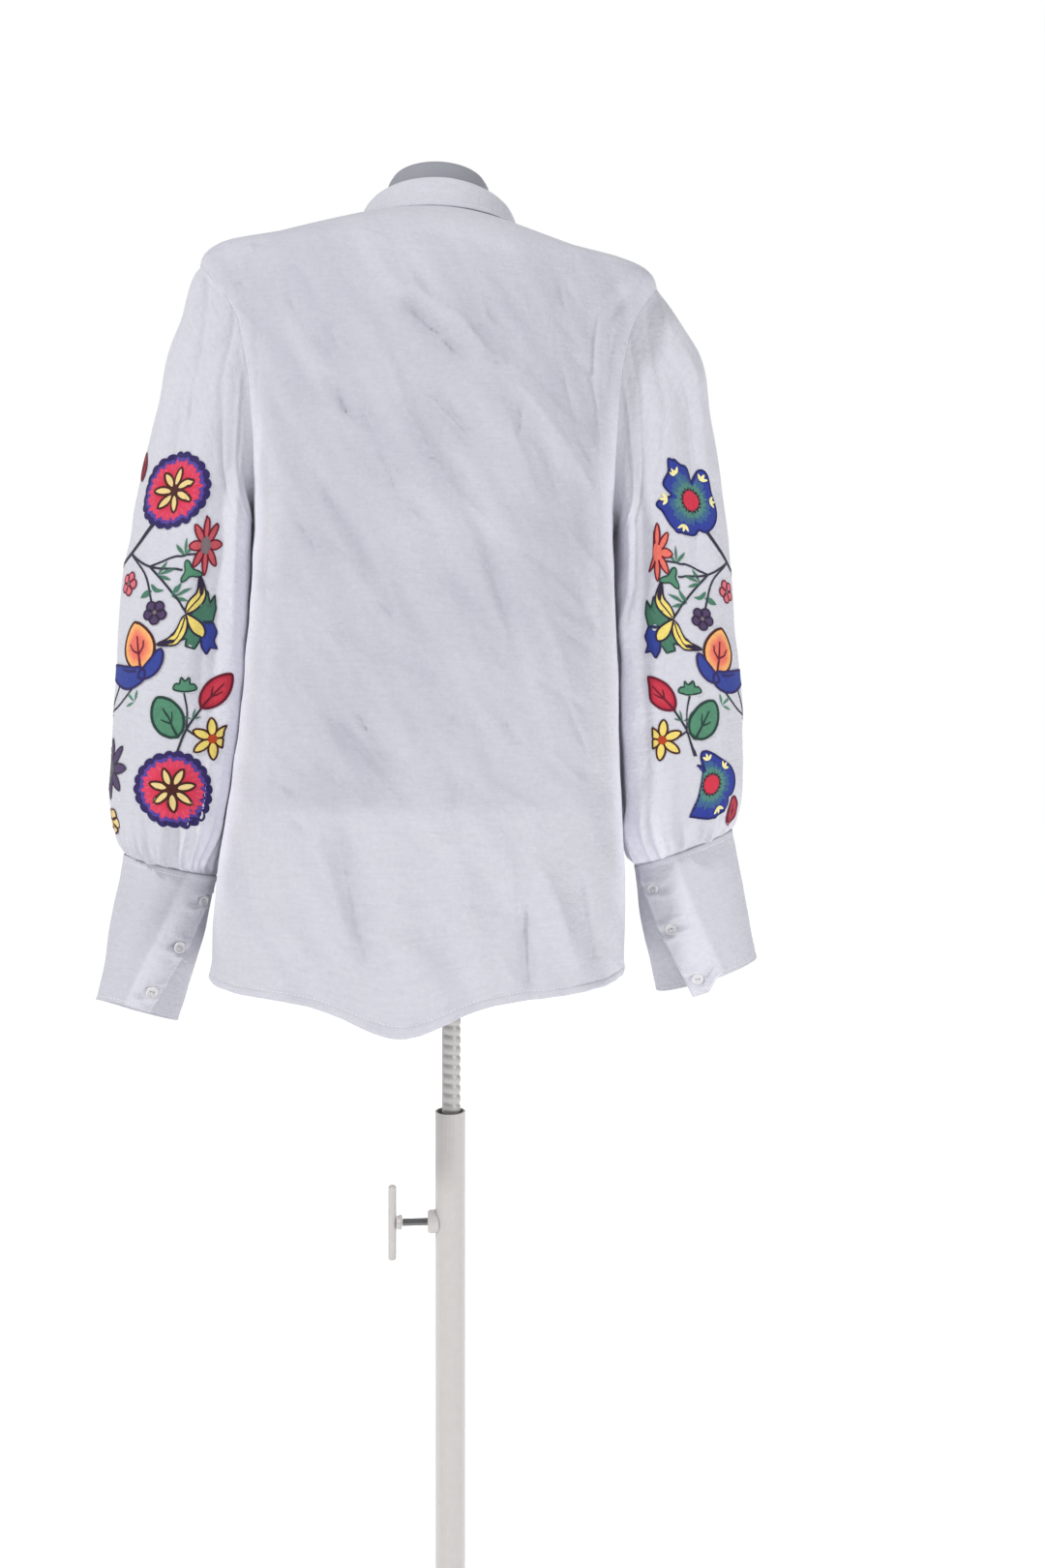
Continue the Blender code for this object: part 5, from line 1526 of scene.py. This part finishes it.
def band_line(sign):
    level = BODY_LEVELS[BODY_LEVELS < BAND_TOP]
    angle = front_angle(level, np.full(level.shape, sign * BAND_STITCHES))
    lift = BAND_LIFT - 0.0001 + band_pucker(body_base(level, angle)) + CLOTH_WALL / 2 + STITCH_LIFT
    return body_surface(level, angle, lift)


def cuff_line(side, down, turn):
    return cuff_cloth(side, down, cuff_edge_turn(side, down) + turn, CUFF_CLOTH_WALL / 2 + STITCH_LIFT)


def all_stitches():
    rows = {"hem_back": hem_line(np.linspace(-89.5, 89.5, 300))}
    part = np.linspace(0.02, 0.98, 260)
    for side, sign in SIDES.items():
        rows["hem_front_" + side] = hem_line(sign * np.linspace(90.5, 175.0, 200))
        level, angle = armhole_place(side, np.linspace(8.0, 352.0, 300), 1.6)
        rows["armhole_" + side] = body_surface(level, angle, CLOTH_WALL / 2 + STITCH_LIFT)
        for number, down in enumerate(CUFF_STITCHES):
            downs = np.full(part.shape, down)
            rows["cuff_%s_%d" % (side, number)] = cuff_line(side, downs, 360.0 * part)
        down = np.linspace(0.02, 0.98, 60)
        rows["cuff_end_" + side] = cuff_line(side, down, 360.0 - CUFF_END_STITCHES)
        rows["band_" + side] = band_line(sign)
    angles = np.linspace(-FALL_END + 2.0, FALL_END - 2.0, 300)
    rows["collar"] = fall_cloth(np.full(angles.shape, FALL_STITCHES), angles, 0.0005)
    for name, (points, normals) in rows.items():
        stitch_row("stitch_" + name, points, normals)


# Buttons

BUTTON_PROFILE = (
    (0.0002, 0.0), (0.0044, 0.0), (0.0047, 0.0005), (0.0048, 0.0012), (0.0047, 0.0018),
    (0.0044, 0.0022), (0.0040, 0.0023), (0.0036, 0.0022), (0.0033, 0.0019), (0.0030, 0.0017),
    (0.0019, 0.0016), (0.0002, 0.0016),
)
HOLE_PROFILE = ((0.00062, 0.0), (0.00058, 0.00006), (0.00001, 0.00007))
HOLE_PLACE, HOLE_HEIGHT = 0.0011, 0.00172
BUTTON_THREAD = (
    (-0.0011, 0.0017), (-0.0008, 0.0021), (0.0, 0.0023), (0.0008, 0.0021), (0.0011, 0.0017),
)


def make_button(node_name, place, normal):
    button = lathe("pearl_" + node_name, BUTTON_PROFILE, 40, pearl, place, normal)
    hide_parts(node_name)
    tilt = tilt_to(normal)
    # Painted shade: a dark disc over each of the button's two holes
    for number, way in enumerate((-1.0, 1.0)):
        spot = place + tilt @ np.array((way * HOLE_PLACE, 0.0, HOLE_HEIGHT))
        lathe("%s_hole_%d" % (node_name, number), HOLE_PROFILE, 14, painted_hole_shade, spot, normal)
    line = np.array([place + tilt @ np.array((x, 0.0, z)) for x, z in BUTTON_THREAD])
    stitch_row(node_name + "_thread", line, np.tile(normal, (len(line), 1)),
               pitch=0.0021, length=0.0019, radius=0.00030)


def level_at_height(height):
    """The body's level where the middle of its front has a height."""
    low, high = HEM, NECKLINE
    for _ in range(40):
        middle = (low + high) / 2
        if float(body_base(middle, 180.0)[2]) < height:
            low = middle
        else:
            high = middle
    return low


def all_buttons():
    for number, height in enumerate(FRONT_BUTTON_HEIGHTS, start=1):
        lift = BAND_LIFT + 0.0002 + CLOTH_WALL / 2 + 0.0001
        points, normals = body_surface([level_at_height(height)], [180.0], np.array([lift]))
        make_button("button_front_%d" % number, points[0], normals[0])
    points, _ = stand_surface([0.42], [180.0 - STAND_LAP * 0.6], np.array([0.0006]))
    make_button("button_collar", points[0], ring_outward(STAND_TOP, np.array([180.0]))[0])
    for side, downs in CUFF_BUTTONS.items():
        for number, at in enumerate(downs, start=1):
            down = np.array([at])
            turn = 360.0 + cuff_edge_turn(side, down) - CUFF_BUTTON_BACK
            points, normals = cuff_surface(side, down, turn, np.array([0.0007]))
            make_button("button_cuff_%s_%d" % (side, number), points[0], normals[0])


# The dress form and its stand

NECK_BOTTOM, NECK_TOP = 1.374, 1.4392
# share of the neck's height to read at, share of the height there, radius
NECK_PROFILE = (
    (0.0, 0.0, 0.0520), (0.30, 0.52, 0.0470), (0.62, 0.74, 0.0435),
    (0.86, 0.90, 0.0415), (0.96, 0.975, 0.0385), (1.0, 1.0, 0.0345),
)
NECK_CAP = ((0.7, 0.0008), (0.35, 0.0012), (0.02, 0.0013))


def form_neck(ring, angles):
    """Rings of the form's neck, blending out of its last body ring into rounds, and its cap."""
    centre = np.array((*NECK_CENTRE, 0.0))
    rise = np.linspace(0.0, 1.0, 22)[1:]
    keys, shares, sizes = np.array(NECK_PROFILE).T
    neck = []
    for part, share, radius in zip(ease(rise, 0.0, 0.42), np.interp(rise, keys, shares),
                                   np.interp(rise, keys, sizes)):
        above = (NECK_TOP - NECK_BOTTOM) * share
        around = np.stack((centre[0] + radius * sin_deg(angles), centre[1] - radius * cos_deg(angles),
                           np.full(angles.shape, NECK_BOTTOM + above)), axis=-1)
        root = centre + (ring - centre) * (0.86, 0.86, 1.0)
        root[:, 2] = ring[:, 2] + 0.004 + above * 0.55
        neck.append(root * (1 - part) + around * part)
    return neck + [centre + (neck[-1] - centre) * (size, size, 1.0) + (0.0, 0.0, up)
                   for size, up in NECK_CAP]


def make_form():
    angles = np.linspace(-180.0, 180.0, 120, endpoint=False)
    level, angle = np.meshgrid(np.linspace(1.66, NECKLINE, 64), angles, indexing="ij")
    inset = columns_at(FORM_ROWS, level)[0]
    inset[0] += 0.012
    inset[1] += 0.004
    rings = body_base(level, angle) - body_normal(level, angle) * inset[..., None]
    bottom = rings[0, :, 2].min()
    rings[0, :, 2] = bottom
    rings[1, :, 2] = np.maximum(rings[1, :, 2], bottom + 0.004)
    base = rings[0].mean(axis=0)
    floor = [base + (rings[0] - base) * size for size in (0.02, 0.5, 0.9)]
    grid = np.concatenate((floor, rings, form_neck(rings[-1], angles)))
    form = new_piece("form_body", grid, ring_faces(len(grid), len(angles), flip=True), form_grey,
                     sharp=60)
    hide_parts("dress_form")


ROD_PITCH = 0.0080
ROD_RIDGE = 0.0010
ROD_FLAT = 0.80
ROD_FLAT_TURN = 50.0


def make_rod():
    """A bar with a flat towards the clamp and slanted ridges round the rest of it."""
    heights = np.linspace(ROD_BOTTOM, float(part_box("height_rod")[1][2]), 600)
    turns = np.linspace(0.0, 360.0, 40, endpoint=False)
    z, turn = np.meshgrid(heights, turns, indexing="ij")
    from_flat = np.abs(turn_away(turn, 180.0))
    phase = (z / ROD_PITCH + turn / 360.0) % 1.0
    ridge = np.clip(np.abs(phase - 0.5) * 2.0, 0.0, 1.0) ** 2.2
    radius = ROD_RADIUS + 0.0001 - ROD_RIDGE * ridge * ease(from_flat, 44.0, 58.0)
    flat = ROD_RADIUS * ROD_FLAT / np.maximum(cos_deg(from_flat), 0.2)
    radius = np.where(from_flat < ROD_FLAT_TURN, np.minimum(radius, flat), radius)
    points = np.stack((radius * cos_deg(turn), radius * sin_deg(turn), z), axis=-1)
    rod = new_piece("ridged_rod", points, ring_faces(len(heights), len(turns), flip=True), rod_steel,
                    sharp=60)
    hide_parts("height_rod")


def dress_stand():
    for name in ("pole_tube", "pole_socket", "base_plate", "clamp_boss", "clamp_hub", "clamp_bar"):
        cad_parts[name].data.materials[0] = paint
    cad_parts["clamp_screw"].data.materials[0] = screw_steel


# Stage

CAMERA_PLACE = Vector((-0.014, -0.944, 0.944))
CAMERA_LOOK = Vector((0.078, 0.997, 0.0))
CAMERA_SENSOR = 36.0
CAMERA_FOCAL, PICTURE_HEIGHT = 1178.0, 1620.0
WORLD_LIGHT = 0.33
FLOOR_GLOW = 0.72
# name, place, aim, size, power
LIGHTS = (
    ("key", (-2.1, -1.6, 3.5), (0.0, 0.0, 1.05), 0.35, 78.0),
    ("fill", (2.3, -1.7, 1.5), (0.05, 0.0, 1.05), 1.5, 29.0),
    ("back", (0.8, 2.2, 2.4), (0.0, 0.0, 1.1), 1.4, 34.0),
)


def add_light(name, place, aim, size, power):
    data = bpy.data.lights.new(name, "AREA")
    data.shape = "DISK"
    data.size = size
    data.energy = power
    lamp = bpy.data.objects.new(name, data)
    lamp.location = place
    lamp.rotation_euler = (Vector(aim) - Vector(place)).to_track_quat("-Z", "Y").to_euler()
    bpy.context.scene.collection.objects.link(lamp)


def make_world():
    """White to the camera and dimmer as a light."""
    world = bpy.data.worlds.new("studio")
    bpy.context.scene.world = world
    world.use_nodes = True
    background = world.node_tree.nodes["Background"]
    background.inputs["Color"].default_value = (1.0, 1.0, 1.0, 1.0)
    seen = node(world, "ShaderNodeLightPath")
    level = node(world, "ShaderNodeMapRange", {"To Min": WORLD_LIGHT, "To Max": 1.0})
    link(world, seen, "Is Camera Ray", level, "Value")
    link(world, level, "Result", background, "Strength")
    bpy.context.scene.view_settings.view_transform = "Standard"


def make_floor():
    turns = np.linspace(0.0, FULL_TURN, 96, endpoint=False)
    points = [(r * math.cos(t), r * math.sin(t), 0.0) for r in (0.001, 2.0, 6.0, 16.0) for t in turns]
    mesh = bpy.data.meshes.new("floor")
    mesh.from_pydata(points, [], ring_faces(4, len(turns)).tolist())
    floor = bpy.data.objects.new("floor", mesh)
    bpy.context.scene.collection.objects.link(floor)
    white = new_material("pale_floor", (0.93, 0.93, 0.93), 0.9, specular=0.1)
    shader_of(white).inputs["Emission Color"].default_value = (1.0, 1.0, 1.0, 1.0)
    shader_of(white).inputs["Emission Strength"].default_value = FLOOR_GLOW
    bump, _ = add_noise_bump(white, 40.0, 0.05, 0.0005)
    link(white, bump, "Normal", shader_of(white), "Normal")
    mesh.materials.append(white)


def make_camera():
    data = bpy.data.cameras.new("camera")
    data.sensor_fit = "VERTICAL"
    data.sensor_height = CAMERA_SENSOR
    data.lens = CAMERA_SENSOR * CAMERA_FOCAL / PICTURE_HEIGHT
    data.clip_start = 0.01
    camera = bpy.data.objects.new("camera", data)
    camera.location = CAMERA_PLACE
    camera.rotation_euler = CAMERA_LOOK.to_track_quat("-Z", "Y").to_euler()
    bpy.context.scene.collection.objects.link(camera)
    bpy.context.scene.camera = camera


back, fronts = body_panels()
band = button_band()
sleeves = {side: make_sleeve(side) for side in SIDES}
cuffs = {side: make_cuff(side) for side in SIDES}
stand, fall = make_collar()
for side in SIDES:
    make_print(side)
all_stitches()
all_buttons()
make_form()
make_rod()
dress_stand()
make_world()
make_floor()
for light in LIGHTS:
    add_light(*light)
make_camera()
